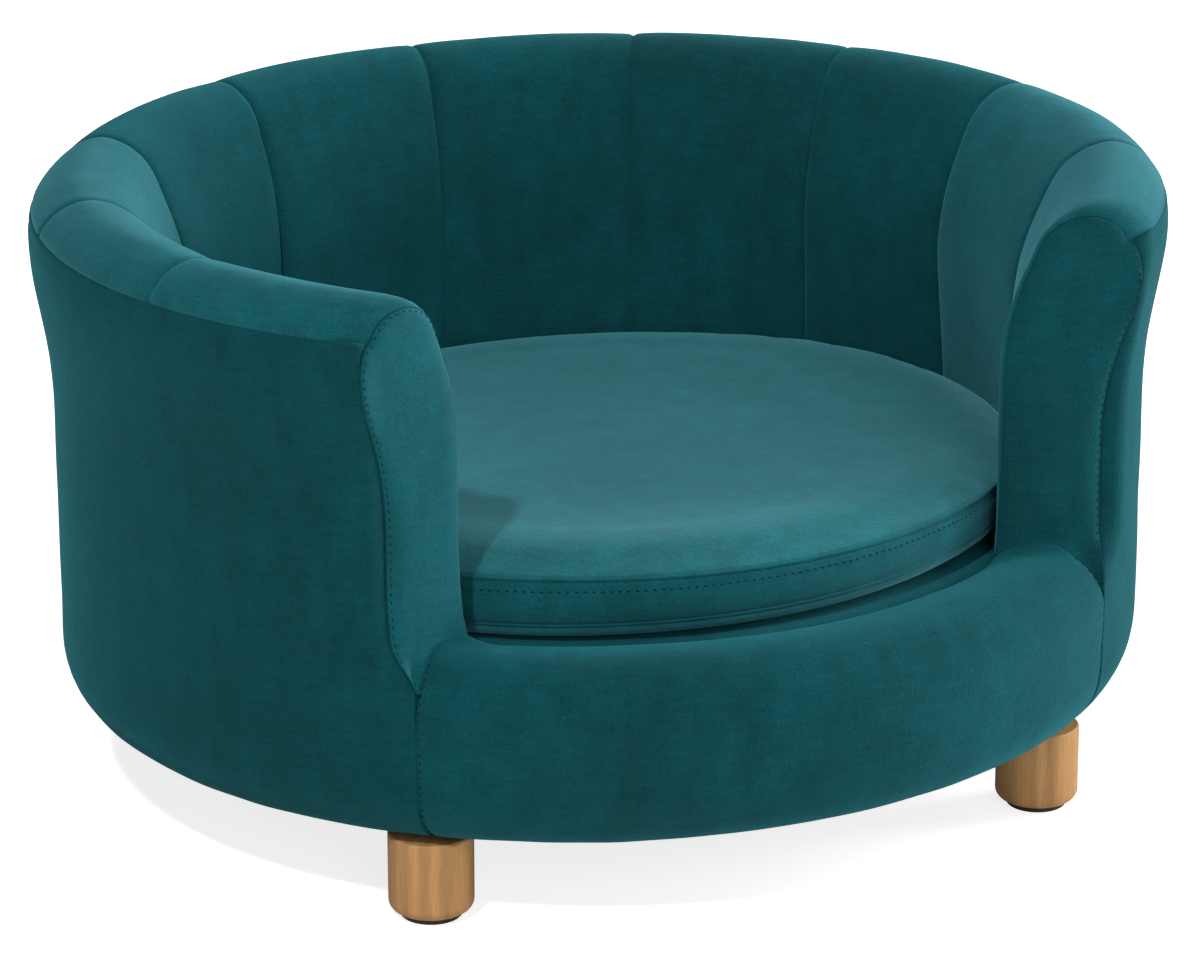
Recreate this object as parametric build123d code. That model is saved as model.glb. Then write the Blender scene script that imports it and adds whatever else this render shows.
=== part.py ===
from build123d import *
import math
import os

# Oval sofa bed for a dog: a padded wall of upright channels round a loose cushion,
# open at the front, on four turned legs.
# Millimetres, +Z up, the open front towards -Y, the origin on the floor under the middle.

# Plan: every ring is a circle, squashed front to back to an oval
depth_share = 0.92
body_r = 331.0
wall_lean = 3.0
rim_overhang = 14.0
wall_thick = 61.0
foot_step = 2.0

# Heights
back_height = 384.0
arm_drop = 11.0
rim_pad = 26.0
rim_seam_rise = 8.0
flare_height = 105.0
well_flare_height = 69.0

# Channels
channel_angle = 27.0
seam_count = 9
channel_puff = 8.0
crest_puff = 3.0
crest_share = 0.66
shoulder_share = 0.33
shoulder_height_share = 0.7
bend_share = 0.3
bend_height_share = 0.54
turn_share = 0.42
turn_height_share = 0.74
outer_turn_share = 0.62
outer_turn_height_share = 0.68
wall_bend_share = 0.47
wall_bend_height_share = 0.5
lip_width = 1.0
lip_height = 6.0

# Arm faces
arm_x_share = 0.651
arm_y_share = 0.7296
arm_skew_angle = 15.3
face_pad_thick = 8.0
end_reach_angle = 38.0

# Front apron
apron_seam_angle = 41.6
apron_rise = 6.5
apron_lean = 4.0
apron_joint_drop = 12.0
apron_crown_share = 0.36
apron_turn_share = 0.28
apron_turn_height_share = 0.72
apron_back_share = 0.45
apron_back_height_share = 0.75

# Bottom edge and underside
edge_roll = 41.0
turn_under = 5.0
turn_width = 41.5
dust_cover_thick = 1.2

# Frame
board_thick = 12.0
skin_thick = 3.0
foot_pad_thick = 9.5
wall_pad_thick = 22.0
skin_top_drop = 47.0
outer_skin_lift = 5.0
seat_top = 146.0
rib_angles = (-115.0, -76.0, -37.0, 0.0, 37.0, 76.0, 115.0)
rail_width = 38.0
rail_inset = 1.0
rib_top_step = 5.0
rib_gap = 1.8
apron_rail_rise = 2.0
post_size = 45.0
post_x_share = 0.3758
post_y_share = 0.3431
arm_notch_width = 30.0
arm_notch_height = 16.0

# Deck and cushion
deck_thick = 11.5
cushion_gap = 11.0
cushion_foot = 8.0
cushion_side = 24.0
cushion_crown = 13.0
cushion_draw = 1.5
foot_turn_share = 0.72
crown_edge_share = 0.93
crown_edge_drop_share = 0.56
crown_share = 0.76
crown_drop_share = 0.24
flat_share = 0.22
cover_thick = 1.5

# Zip in the back of the cushion's boxing
zip_half_angle = 22.0
zip_width = 12.0
zip_gap = 1.8
slider_travel = 36.0
slider_length = 10.0
slider_width = 9.0
slider_plate = 1.2
slider_post = 1.2
slider_bridge_rise = 1.6
slider_bridge_width = 3.0
slider_bridge_share = 0.8

# Legs
leg_dia = 50.0
leg_height = 48.2
leg_round = 7.0
leg_break = 1.0
leg_x_share = 0.6536
leg_y_share = 0.6405
glide_dia = 36.0
glide_thick = 3.5
glide_break = 0.8
stud_dia = 8.0
stud_in_leg = 24.0
stud_end = 4.0
nut_barrel_dia = 10.5
nut_flange_dia = 19.0
nut_flange_thick = 1.5
nut_depth = 10.0

# Clearances
soft_gap = 0.3
pad_back_gap = 1.2
thread_gap = 0.05
overrun = 60.0
drill_over = 2.0

# Worked out from the sizes above
well_r = body_r - wall_thick
channel_foot_r = well_r - foot_step
cushion_r = channel_foot_r - cushion_gap
well_skin_r = channel_foot_r + foot_pad_thick
rib_in_r = well_skin_r + skin_thick
outer_skin_r = body_r - wall_pad_thick
base_r = outer_skin_r - skin_thick
rail_out_r = body_r + wall_lean - rail_inset
rail_in_r = rail_out_r - rail_width
arm_in_x = well_r * arm_x_share
arm_in_y = well_r * arm_y_share
post_x = base_r * post_x_share
post_y = base_r * post_y_share
leg_x = base_r * leg_x_share
leg_y = base_r * leg_y_share
underside = glide_thick + leg_height + soft_gap
base_bottom = underside + turn_under
base_top = base_bottom + board_thick
rail_top = back_height - arm_drop - rim_pad
rail_bottom = rail_top - board_thick
skin_top = rail_top - skin_top_drop
rim_seam_z = rail_top + rim_seam_rise
rim_seam_r = body_r + wall_lean + rim_overhang
roll_centre_z = underside + edge_roll
seat_bottom = seat_top - board_thick
deck_top = seat_top + deck_thick
apron_height = deck_top + apron_rise
apron_rail_top = seat_top + apron_rail_rise
apron_joint = apron_height - apron_joint_drop
cushion_bottom = deck_top + soft_gap
low_seam_z = cushion_bottom + cushion_foot
top_seam_z = low_seam_z + cushion_side
well_mid = (deck_top + rail_top - well_flare_height) / 2
skew = math.tan(math.radians(arm_skew_angle))
diagonal = math.sqrt(1 / 2)
turn_r = base_r - turn_width
plan_half = body_r + overrun

# The box round the whole sofa runs from the back rim to the front of the apron
back_reach = depth_share * (rim_seam_r + lip_width + crest_puff / 2)
front_reach = depth_share * (body_r + apron_lean)
plan_shift = (front_reach - back_reach) / 2

parts = {}


def oval(shape):
    """A ring made as a circle, squashed front to back."""
    return scale(shape, by=(1, depth_share, 1))


def oval_plate(r, bottom, thick, hole_r=0):
    """A flat oval board, or a flat oval ring if it has a hole."""
    sketch = Ellipse(r, r * depth_share)
    if hole_r:
        sketch -= Ellipse(hole_r, hole_r * depth_share)
    return extrude(Pos(0, 0, bottom) * sketch, thick)


def ring(face, middle, half):
    """A half-plane outline turned about the vertical axis, then squashed."""
    turned = revolve(face, axis=Axis.Z, revolution_arc=2 * half)
    return oval(turned.rotate(Axis.Z, middle - half))


def stretch(angle):
    """How much longer than its radius a ray at this angle from the back is drawn."""
    turn = math.radians(angle)
    return math.hypot(math.sin(turn), depth_share * math.cos(turn))


def station(angle):
    """The upright plane through the middle, at this angle from the back."""
    turn = math.radians(angle)
    out = Vector(math.sin(turn), depth_share * math.cos(turn), 0).normalized()
    return Plane(origin=(0, 0, 0), x_dir=out, z_dir=out.cross(Vector(0, 0, 1)))


def ahead_of_arms(setback, low, high):
    """The space in front of both arm faces, or of a plane set back behind them."""
    middle_y = -arm_in_y + arm_in_x * skew + setback / math.cos(math.radians(arm_skew_angle))
    side_y = middle_y - plan_half * skew
    outline = Polyline(
        (0, middle_y),
        (plan_half, side_y),
        (plan_half, -plan_half),
        (-plan_half, -plan_half),
        (-plan_half, side_y),
        close=True,
    )
    return extrude(Pos(0, 0, low) * make_face(outline), high - low)


def front_sector(low, high):
    """The wedge of space between the two upright seams of the apron."""
    turn = math.radians(apron_seam_angle)
    far = 2 * plan_half
    side_x = far * math.sin(turn)
    side_y = -far * depth_share * math.cos(turn)
    outline = Polyline((0, 0), (-side_x, side_y), (side_x, side_y), close=True)
    return extrude(Pos(0, 0, low) * make_face(outline), high - low)


def crest(angle):
    """Height of the rim, highest at the back and lowest at the arms."""
    return back_height - arm_drop * (1 - math.cos(math.radians(angle))) / 2


def upper_outline(angle, fullness):
    """The visible line of a channel, from its foot over the rim to the outer seam."""
    top = crest(angle) - crest_puff * (1 - fullness)
    face_r = well_r - channel_puff * fullness
    flare_z = rail_top - well_flare_height
    lip_r = rim_seam_r + lip_width + crest_puff * fullness / 2
    crest_r = well_r + (rim_seam_r - well_r) * crest_share
    shoulder_r = face_r + (crest_r - face_r) * shoulder_share
    shoulder_z = flare_z + (top - flare_z) * shoulder_height_share
    foot = (channel_foot_r, deck_top)
    low = (face_r, well_mid)
    flare = (face_r, flare_z)
    bend = (
        face_r + (shoulder_r - face_r) * bend_share,
        flare_z + (shoulder_z - flare_z) * bend_height_share,
    )
    shoulder = (shoulder_r, shoulder_z)
    inner_turn = (
        shoulder_r + (crest_r - shoulder_r) * turn_share,
        shoulder_z + (top - shoulder_z) * turn_height_share,
    )
    peak = (crest_r, top)
    outer_turn = (
        crest_r + (lip_r - crest_r) * outer_turn_share,
        rim_seam_z + lip_height + (top - rim_seam_z - lip_height) * outer_turn_height_share,
    )
    lip = (lip_r, rim_seam_z + lip_height)
    seam = (rim_seam_r, rim_seam_z)
    return foot, low, flare, bend, shoulder, inner_turn, peak, outer_turn, lip, seam


def channel_section(angle, fullness):
    """A cut through one channel pad: its face, the rim, and its back against the frame."""
    points = upper_outline(angle, fullness)
    foot, low, flare, bend, shoulder, inner_turn, peak, outer_turn, lip, seam = points
    back_r = well_skin_r - pad_back_gap
    rail_r = rail_in_r - soft_gap
    wide = stretch(angle)

    def at(point):
        return (point[0] * wide, point[1])

    with BuildSketch(station(angle)) as section:
        with BuildLine():
            Polyline(at((channel_foot_r, seat_top + soft_gap)), at(foot), at(low), at(flare))
            ThreePointArc(at(flare), at(bend), at(shoulder))
            ThreePointArc(at(shoulder), at(inner_turn), at(peak))
            ThreePointArc(at(peak), at(outer_turn), at(lip))
            Polyline(
                at(lip),
                at(seam),
                at((rail_out_r, rail_top + soft_gap)),
                at((rail_r, rail_top + soft_gap)),
                at((rail_r, rail_bottom)),
                at((back_r, skin_top)),
                at((back_r, seat_top + soft_gap)),
                at((channel_foot_r, seat_top + soft_gap)),
            )
        make_face()
    return section.sketch.face()


def arm_section(angle, fullness):
    """A cut through the whole arm, padding and frame together."""
    points = upper_outline(angle, fullness)
    foot, low, flare, bend, shoulder, inner_turn, peak, outer_turn, lip, seam = points
    wide = stretch(angle)
    wall_bend, wall_flare = outer_wall_turns()

    def at(point):
        return (point[0] * wide, point[1])

    with BuildSketch(station(angle)) as section:
        with BuildLine():
            Polyline(at((channel_foot_r, apron_joint)), at(foot), at(low), at(flare))
            ThreePointArc(at(flare), at(bend), at(shoulder))
            ThreePointArc(at(shoulder), at(inner_turn), at(peak))
            ThreePointArc(at(peak), at(outer_turn), at(lip))
            Line(at(lip), at(seam))
            ThreePointArc(at(seam), at(wall_bend), at(wall_flare))
            Polyline(
                at(wall_flare),
                at((outer_wall_r(apron_joint), apron_joint)),
                at((channel_foot_r, apron_joint)),
            )
        make_face()
    return section.sketch.face()


def outer_wall_r(z):
    """Radius of the outer wall below its flare."""
    flare_z = rim_seam_z - flare_height
    return body_r + wall_lean * (z - roll_centre_z) / (flare_z - roll_centre_z)


def outer_wall_turns():
    """Where the outer wall starts to flare, and a point on the way to the rim's seam."""
    flare_z = rim_seam_z - flare_height
    flare_r = body_r + wall_lean
    bend = (
        flare_r + rim_overhang * wall_bend_share,
        flare_z + flare_height * wall_bend_height_share,
    )
    return bend, (flare_r, flare_z)


def lofted(section, start, end, full_middle):
    """A padded length of wall: drawn in at both ends, full in the middle."""
    middle = (start + end) / 2
    return loft([section(start, 0), section(middle, full_middle), section(end, 0)])


def make_channels():
    """Ten upright pads, seam to seam, the last one on each side cut at its arm face."""
    first = -channel_angle * (seam_count - 1) / 2
    cut = ahead_of_arms(face_pad_thick, 0, back_height + overrun)
    end_pad = lofted(channel_section, -first, -first + end_reach_angle, 1) - cut
    end_pad -= front_sector(0, apron_joint)
    pads = [mirror(end_pad, about=Plane.YZ)]
    for count in range(seam_count - 1):
        start = first + count * channel_angle
        pads.append(lofted(channel_section, start, start + channel_angle, 1))
    pads.append(end_pad)
    for count, pad in enumerate(pads, 1):
        parts[f"channel_{count}"] = pad


def make_arm_faces():
    """The padded panel that closes each arm towards the front."""
    slab = ahead_of_arms(face_pad_thick, 0, back_height + overrun)
    slab -= ahead_of_arms(0, 0, back_height + overrun)
    first = channel_angle * (seam_count - 1) / 2
    face_pad = lofted(arm_section, first, first + end_reach_angle, 1) & slab
    parts["arm_face_right"] = face_pad
    parts["arm_face_left"] = mirror(face_pad, about=Plane.YZ)


def turned_under(top_points):
    """The outline shared by the outer wrap and the apron, from the underside to the wall."""
    roll_r = body_r - edge_roll
    with BuildSketch(Plane.XZ) as section:
        with BuildLine():
            Polyline((turn_r, base_bottom), (turn_r, underside), (roll_r, underside))
            ThreePointArc(
                (roll_r, underside),
                (roll_r + edge_roll * diagonal, roll_centre_z - edge_roll * diagonal),
                (body_r, roll_centre_z),
            )
            top_points()
            Polyline(
                (outer_skin_r + soft_gap, base_bottom + outer_skin_lift),
                (base_r + soft_gap, base_bottom),
                (turn_r, base_bottom),
            )
        make_face()
    return section.sketch


def wrap_top():
    bend, flare = outer_wall_turns()
    Line((body_r, roll_centre_z), flare)
    ThreePointArc(flare, bend, (rim_seam_r, rim_seam_z - soft_gap))
    Polyline(
        (rim_seam_r, rim_seam_z - soft_gap),
        (rail_out_r + soft_gap, rail_top),
        (rail_out_r + soft_gap, rail_bottom - soft_gap),
        (rail_out_r - rib_top_step, rail_bottom - soft_gap),
        (outer_skin_r + soft_gap, skin_top),
        (outer_skin_r + soft_gap, base_bottom + outer_skin_lift),
    )


def apron_top():
    outer_r = body_r + apron_lean
    crown_r = channel_foot_r + (outer_r - channel_foot_r) * apron_crown_share
    edge_z = apron_height - apron_joint_drop * 2
    Line((body_r, roll_centre_z), (outer_r, edge_z))
    ThreePointArc(
        (outer_r, edge_z),
        (
            outer_r - (outer_r - crown_r) * apron_turn_share,
            edge_z + (apron_height - edge_z) * apron_turn_height_share,
        ),
        (crown_r, apron_height),
    )
    ThreePointArc(
        (crown_r, apron_height),
        (
            channel_foot_r + (crown_r - channel_foot_r) * apron_back_share,
            deck_top + (apron_height - deck_top) * apron_back_height_share,
        ),
        (channel_foot_r, deck_top),
    )
    Polyline(
        (channel_foot_r, deck_top),
        (channel_foot_r, seat_top + soft_gap),
        (rib_in_r, seat_top + soft_gap),
        (rib_in_r, apron_rail_top + soft_gap),
        (outer_skin_r + soft_gap, apron_rail_top + soft_gap),
        (outer_skin_r + soft_gap, base_bottom + outer_skin_lift),
    )


def make_outer_covers():
    """The outer wrap round sides and back, and the apron across the front."""
    high = back_height + overrun
    half_turn = 180 - apron_seam_angle
    wrap = ring(turned_under(wrap_top), 90, half_turn + end_reach_angle / 2)
    wrap -= front_sector(0, apron_joint)
    wrap -= ahead_of_arms(face_pad_thick, apron_joint, high)
    for x, y in leg_places():
        wrap -= Pos(x, y, underside) * drill(stud_dia / 2 + soft_gap, turn_under)
    parts["outer_wrap"] = wrap
    apron = ring(turned_under(apron_top), 270, apron_seam_angle + end_reach_angle / 2)
    front = front_sector(0, apron_joint) + ahead_of_arms(0, apron_joint, high)
    parts["apron_cover"] = apron & front


def make_frame():
    """Boards, ribs, rails and bent skins inside the upholstery."""
    base = oval_plate(base_r, base_bottom, board_thick)
    for x, y in leg_places():
        base -= Pos(x, y, base_bottom) * drill(nut_barrel_dia / 2, board_thick)
    parts["base_board"] = base
    parts["seat_board"] = oval_plate(well_skin_r - soft_gap, seat_bottom, board_thick)

    post_height = seat_bottom - base_top
    for count, (x_side, y_side) in enumerate(corners(), 1):
        place = Pos(x_side * post_x, y_side * post_y, base_top + post_height / 2)
        parts[f"seat_post_{count}"] = place * Box(post_size, post_size, post_height)

    high = back_height + overrun
    front_opening = ahead_of_arms(face_pad_thick, seat_bottom, high)
    front_opening += front_sector(seat_bottom, apron_joint)
    parts["well_skin"] = (
        oval_plate(rib_in_r, base_top, skin_top - base_top, well_skin_r) - front_opening
    )
    skin_bottom = base_bottom + outer_skin_lift
    parts["outer_skin"] = oval_plate(
        outer_skin_r, skin_bottom, skin_top - skin_bottom, base_r
    ) - ahead_of_arms(face_pad_thick, apron_rail_top, high)

    parts["top_rail"] = oval_plate(
        rail_out_r, rail_bottom, board_thick, rail_in_r
    ) - ahead_of_arms(face_pad_thick, 0, high)
    apron_rail = oval_plate(
        base_r - soft_gap, apron_rail_top - board_thick, board_thick, rib_in_r + soft_gap
    )
    parts["apron_rail"] = apron_rail & ahead_of_arms(face_pad_thick - soft_gap, 0, high)

    for count, angle in enumerate(rib_angles, 1):
        outline = rib_outline(station(angle), stretch(angle))
        parts[f"rib_{count}"] = extrude(outline, board_thick / 2, both=True)

    board = ring(rib_outline(Plane.XZ, 1), -end_reach_angle, end_reach_angle)
    board &= ahead_of_arms(face_pad_thick + board_thick, 0, high)
    board -= ahead_of_arms(face_pad_thick, 0, high)
    notch = Box(arm_notch_width, arm_notch_width, arm_notch_height * 2)
    board -= Pos(leg_x, -leg_y, base_top) * notch
    parts["arm_board_right"] = board
    parts["arm_board_left"] = mirror(board, about=Plane.YZ)


def rib_outline(plane, wide):
    """The cut-out shape of a rib, upright below and leaning out under the rail."""
    inner = (rib_in_r + rib_gap) * wide
    outer = (base_r - rib_gap) * wide
    with BuildSketch(plane) as section:
        with BuildLine():
            Polyline(
                (inner, base_top),
                (outer, base_top),
                (outer, skin_top),
                ((rail_out_r - rib_top_step - rib_gap) * wide, rail_bottom),
                ((rail_in_r + rib_gap) * wide, rail_bottom),
                (inner, skin_top),
                close=True,
            )
        make_face()
    return section.sketch


def corners():
    return ((-1, -1), (1, -1), (1, 1), (-1, 1))


def leg_places():
    return [(x_side * leg_x, y_side * leg_y) for x_side, y_side in corners()]


def upright(r, height):
    """A round bar standing on its own origin."""
    return Cylinder(r, height, align=(Align.CENTER, Align.CENTER, Align.MIN))


def drill(r, depth):
    """A round cutter through a board, a little proud of both faces."""
    return Pos(0, 0, -drill_over) * upright(r, depth + 2 * drill_over)


def make_underside_and_deck():
    parts["dust_cover"] = oval_plate(
        turn_r - soft_gap, base_bottom - dust_cover_thick, dust_cover_thick
    )
    parts["deck_pad"] = oval_plate(channel_foot_r - soft_gap, seat_top, deck_thick)


def cushion_outline(inset):
    """Half of the cushion's cut, drawn in at the sides and crowned, less an inset."""
    r = cushion_r - inset
    low = cushion_bottom + inset
    top = top_seam_z + cushion_crown - inset
    foot_r = r - cushion_foot
    with BuildSketch(Plane.XZ) as section:
        with BuildLine():
            Line((0, low), (foot_r, low))
            ThreePointArc(
                (foot_r, low),
                (foot_r + cushion_foot * foot_turn_share, low + cushion_foot * (1 - foot_turn_share)),
                (r - cushion_draw / 2, low_seam_z + inset),
            )
            ThreePointArc(
                (r - cushion_draw / 2, low_seam_z + inset),
                (r - cushion_draw * 3 / 2, (low_seam_z + top_seam_z) / 2),
                (r, top_seam_z - inset),
            )
            ThreePointArc(
                (r, top_seam_z - inset),
                (r * crown_edge_share, top - cushion_crown * crown_edge_drop_share),
                (r * crown_share, top - cushion_crown * crown_drop_share),
            )
            ThreePointArc(
                (r * crown_share, top - cushion_crown * crown_drop_share),
                (r * crown_share / 2, top - cushion_crown * crown_drop_share * flat_share),
                (0, top),
            )
            Line((0, top), (0, low))
        make_face()
    return section.sketch


def zip_centre():
    """The zip runs along the arc that best fits the back of the oval boxing."""
    back_y = cushion_r * depth_share
    return back_y, cushion_r * cushion_r / back_y


def zip_band(inner, outer, low, high, half):
    """An upright band along the zip's arc, between two radii off its line."""
    back_y, arc_r = zip_centre()
    band = Cylinder(arc_r + outer, high - low) - Cylinder(arc_r + inner, high - low)
    turn = math.radians(half)
    far = 2 * (arc_r + outer)
    wedge = make_face(
        Polyline(
            (0, 0),
            (far * math.sin(turn), far * math.cos(turn)),
            (-far * math.sin(turn), far * math.cos(turn)),
            close=True,
        )
    )
    wedge = extrude(Pos(0, 0, -(high - low)) * wedge, 2 * (high - low))
    return Pos(0, back_y - arc_r, (low + high) / 2) * (band & wedge)


def make_cushion():
    """Foam core in a sewn cover of three panels, with a zip in the back of the boxing."""
    outer = revolve(cushion_outline(0), axis=Axis.Z)
    inner = revolve(cushion_outline(cover_thick), axis=Axis.Z)
    shell = outer - inner
    span = 2 * (cushion_r + overrun)
    above = Pos(0, 0, top_seam_z + overrun / 2) * Box(span, span, overrun)
    below = Pos(0, 0, low_seam_z - overrun / 2) * Box(span, span, overrun)
    zip_z = (low_seam_z + top_seam_z) / 2
    half = zip_width / 2
    window = zip_band(-overrun / 2, overrun / 2, zip_z - half, zip_z + half, zip_half_angle)
    pocket = zip_band(
        -cover_thick - slider_plate - 3 * soft_gap,
        overrun / 2,
        zip_z - half,
        zip_z + half,
        zip_half_angle,
    )
    parts["cushion_core"] = oval(inner) - pocket
    parts["cushion_top"] = oval(shell & above)
    parts["cushion_base"] = oval(shell & below)
    parts["cushion_boxing"] = oval(shell - above - below) - window

    tapes = zip_band(-cover_thick, 0, zip_z - half, zip_z + half, zip_half_angle)
    slot = zip_band(-overrun / 2, overrun / 2, zip_z - zip_gap / 2, zip_z + zip_gap / 2, zip_half_angle * 2)
    tapes -= slot
    lower, upper = sorted(tapes.solids(), key=lambda solid: solid.center().Z)
    parts["zip_tape_lower"] = lower
    parts["zip_tape_upper"] = upper
    make_slider(zip_z)


def make_slider(zip_z):
    """Two plates joined by a post that runs in the gap between the tapes."""
    back_y, arc_r = zip_centre()
    half_turn = math.degrees(slider_length / 2 / arc_r)
    low = zip_z - slider_width / 2
    high = zip_z + slider_width / 2
    front = zip_band(soft_gap, soft_gap + slider_plate, low, high, half_turn)
    behind = zip_band(-cover_thick - soft_gap - slider_plate, -cover_thick - soft_gap, low, high, half_turn)
    post = zip_band(
        -cover_thick - soft_gap,
        soft_gap,
        zip_z - slider_post / 2,
        zip_z + slider_post / 2,
        half_turn / 2,
    )
    bridge = zip_band(
        soft_gap + slider_plate,
        soft_gap + slider_plate + slider_bridge_rise,
        zip_z - slider_bridge_width / 2,
        zip_z + slider_bridge_width / 2,
        half_turn * slider_bridge_share,
    )
    slider = front + behind + post + bridge
    centre = Axis((0, back_y - arc_r, 0), (0, 0, 1))
    parts["zip_slider"] = slider.rotate(centre, -slider_travel / 2)


def make_legs():
    """Turned legs on threaded studs, with nuts let into the base board and glides below."""
    leg_bottom = glide_thick
    leg = upright(leg_dia / 2, leg_height)
    leg = fillet(leg.edges().sort_by(Axis.Z)[0], leg_round)
    leg = chamfer(leg.edges().sort_by(Axis.Z)[-1], leg_break)
    bore_depth = stud_in_leg + stud_end
    leg -= Pos(0, 0, leg_height - bore_depth) * upright(stud_dia / 2 + thread_gap, bore_depth + drill_over)
    glide = upright(glide_dia / 2, glide_thick)
    glide = chamfer(glide.edges().sort_by(Axis.Z)[0], glide_break)
    stud_bottom = leg_bottom + leg_height - stud_in_leg
    stud_top = base_top + nut_flange_thick + stud_end
    stud = upright(stud_dia / 2, stud_top - stud_bottom)
    stud = chamfer(stud.edges().filter_by(GeomType.CIRCLE), stud_dia / 8)
    nut = Pos(0, 0, -nut_depth) * upright(nut_barrel_dia / 2 - thread_gap, nut_depth)
    nut += upright(nut_flange_dia / 2, nut_flange_thick)
    nut -= Pos(0, 0, -nut_depth) * drill(stud_dia / 2 + thread_gap, nut_depth + nut_flange_thick)
    for count, (x, y) in enumerate(leg_places(), 1):
        parts[f"leg_{count}"] = Pos(x, y, leg_bottom) * leg
        parts[f"glide_{count}"] = Pos(x, y, 0) * glide
        parts[f"stud_{count}"] = Pos(x, y, stud_bottom) * stud
        parts[f"leg_nut_{count}"] = Pos(x, y, base_top) * nut


make_frame()
make_underside_and_deck()
make_outer_covers()
make_channels()
make_arm_faces()
make_cushion()
make_legs()

os.makedirs("parts", exist_ok=True)
for name, shape in parts.items():
    export_step(Pos(0, plan_shift, 0) * shape, f"parts/{name}.step")

zip_back_y, zip_arc_r = zip_centre()
print(f"plan shift {plan_shift:.3f}, zip axis at y {zip_back_y - zip_arc_r + plan_shift:.3f}")
print(f"legs at x {leg_x:.1f}, y {leg_y:.1f} less {-plan_shift:.3f}; underside {underside:.1f}")
print(f"rail top {rail_top:.1f}, deck {deck_top:.1f}, cushion top {top_seam_z + cushion_crown:.1f}")
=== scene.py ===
import math

import bmesh
import bpy
import numpy as np
from bpy.props import FloatProperty, FloatVectorProperty, IntProperty, PointerProperty
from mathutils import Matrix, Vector, noise
from mathutils.geometry import delaunay_2d_cdt


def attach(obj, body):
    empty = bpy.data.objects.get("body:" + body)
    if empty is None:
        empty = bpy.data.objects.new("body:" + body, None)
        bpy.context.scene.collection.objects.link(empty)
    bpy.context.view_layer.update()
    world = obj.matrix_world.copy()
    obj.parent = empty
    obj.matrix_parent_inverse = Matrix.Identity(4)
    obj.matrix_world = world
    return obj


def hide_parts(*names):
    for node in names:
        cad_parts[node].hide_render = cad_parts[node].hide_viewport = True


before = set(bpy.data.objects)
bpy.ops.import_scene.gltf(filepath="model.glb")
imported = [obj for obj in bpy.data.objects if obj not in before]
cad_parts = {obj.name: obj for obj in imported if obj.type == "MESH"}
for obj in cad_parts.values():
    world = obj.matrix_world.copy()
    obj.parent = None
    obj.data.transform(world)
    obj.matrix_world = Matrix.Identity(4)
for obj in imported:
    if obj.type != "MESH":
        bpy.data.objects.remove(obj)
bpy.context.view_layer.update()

bl_info = {
    "name": "Oval dog sofa",
    "version": (1, 0, 0),
    "blender": (4, 5, 0),
    "location": "3D View > Sidebar > Dog sofa",
    "description": "Dresses the frame of an oval sofa bed for a dog in channelled velvet",
    "category": "Object",
}

# Sizes of the frame, and of the covers where they stand out further: in millimetres, or in metres where
# MM is in the value; angles in degrees from the back
MM = 0.001
DEPTH_SHARE = 0.92
PLAN_SHIFT = -7.13
RIM_SEAM_R = 346.0
RIM_SEAM_DROP = 21.0
RAIL_TOP = 347.0
RAIL_IN_R = 294.7
RAIL_OUT_R = 333.0
WELL_R = 270.0
FOOT_R = 268.0
DECK_TOP = 157.5
SEAT_TOP = 146.3
BACK_HEIGHT = 384.0
CREST_DROP = 5.5
WELL_MID = 217.75
WELL_FLARE_Z = 278.0
CREST_PUFF = 1.6
CREST_R = 315.5
LIP_PUFF = 0.6
SKIN_TOP = 300.0
BACK_R = 276.3
SKIN_R = 309.3
TURN_R = 264.5
COVER_R = 335.2
COVER_LINE = (
    (346.0, 359.0), (348.0, 351.0), (348.2, 340.0), (346.6, 325.0), (343.8, 310.0), (340.9, 295.0), (338.4, 280.0),
    (336.7, 265.0), (335.8, 250.0))
UNDERSIDE = 52.0
BASE_BOTTOM = 57.0
EDGE_ROLL = 41.0
ROLL_Z = 93.0
APRON_TOP = 166.5
APRON_R = 337.0
APRON_CROWN_R = 292.1
APRON_EDGE_Z = 140.0
SEAMS = (-108.0, -81.0, -54.0, -26.7, 0.4, 27.0, 53.3, 79.4, 108.0)
FIRST_SEAM = 108.0
FACE_DRAWN = {"left": 8.0, "right": 2.0}
FRONT_SEAM = 138.4
ARM_X = 175.77
ARM_Y = 196.99
ARM_SKEW = math.tan(math.radians(15.3))
ARM_COS = math.cos(math.radians(15.3))
FACE_ALONG = np.array([1.0, -ARM_SKEW, 0.0]) * ARM_COS
FACE_AHEAD = np.array([-ARM_SKEW, -1.0, 0.0]) * ARM_COS
CUSHION_R = 257.0
LOW_SEAM_Z = 165.8
TOP_SEAM_Z = 189.8
CUSHION_BOTTOM = 157.8
CUSHION_TOP = 202.8
CUSHION_CROWN = 13.0
CUSHION_SECTORS = 192
DISC_SECTORS = 144
FACE_ANGLE = 134.0
FACE_STEP = 2.4
FACE_THICK = 6.0
PANEL_THICK = 1.5 * MM
BEAD_R = 1.0 * MM
SEAM_LINE_R = 0.45 * MM
STITCH_R = 0.42 * MM
STITCH_RISE = 0.22 * MM
STITCH_SUNK = 0.12 * MM
WRAP_BACK = [(305.7, BASE_BOTTOM), (SKIN_R, BASE_BOTTOM + 5)]
# Name, place and size in metres, and power in watts
LAMPS = (
    ("key_light", (-2.2, -2.2, 3.48), 0.22, 72.0),
    ("side_light", (3.0, -0.5, 1.0), 1.5, 62.0),
    ("front_light", (-0.5, -3.5, 1.5), 2.0, 22.0),
    ("high_light", (1.5, -2.0, 3.2), 1.5, 12.0),
    ("rim_light", (1.8, 2.6, 2.4), 1.5, 26.0),
    ("top_light", (0.0, 1.7, 3.4), 1.5, 12.0))


def in_mm(name, description, default, low, high):
    return FloatProperty(name=name, description=f"{description}, in mm", default=default, min=low, max=high)


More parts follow.
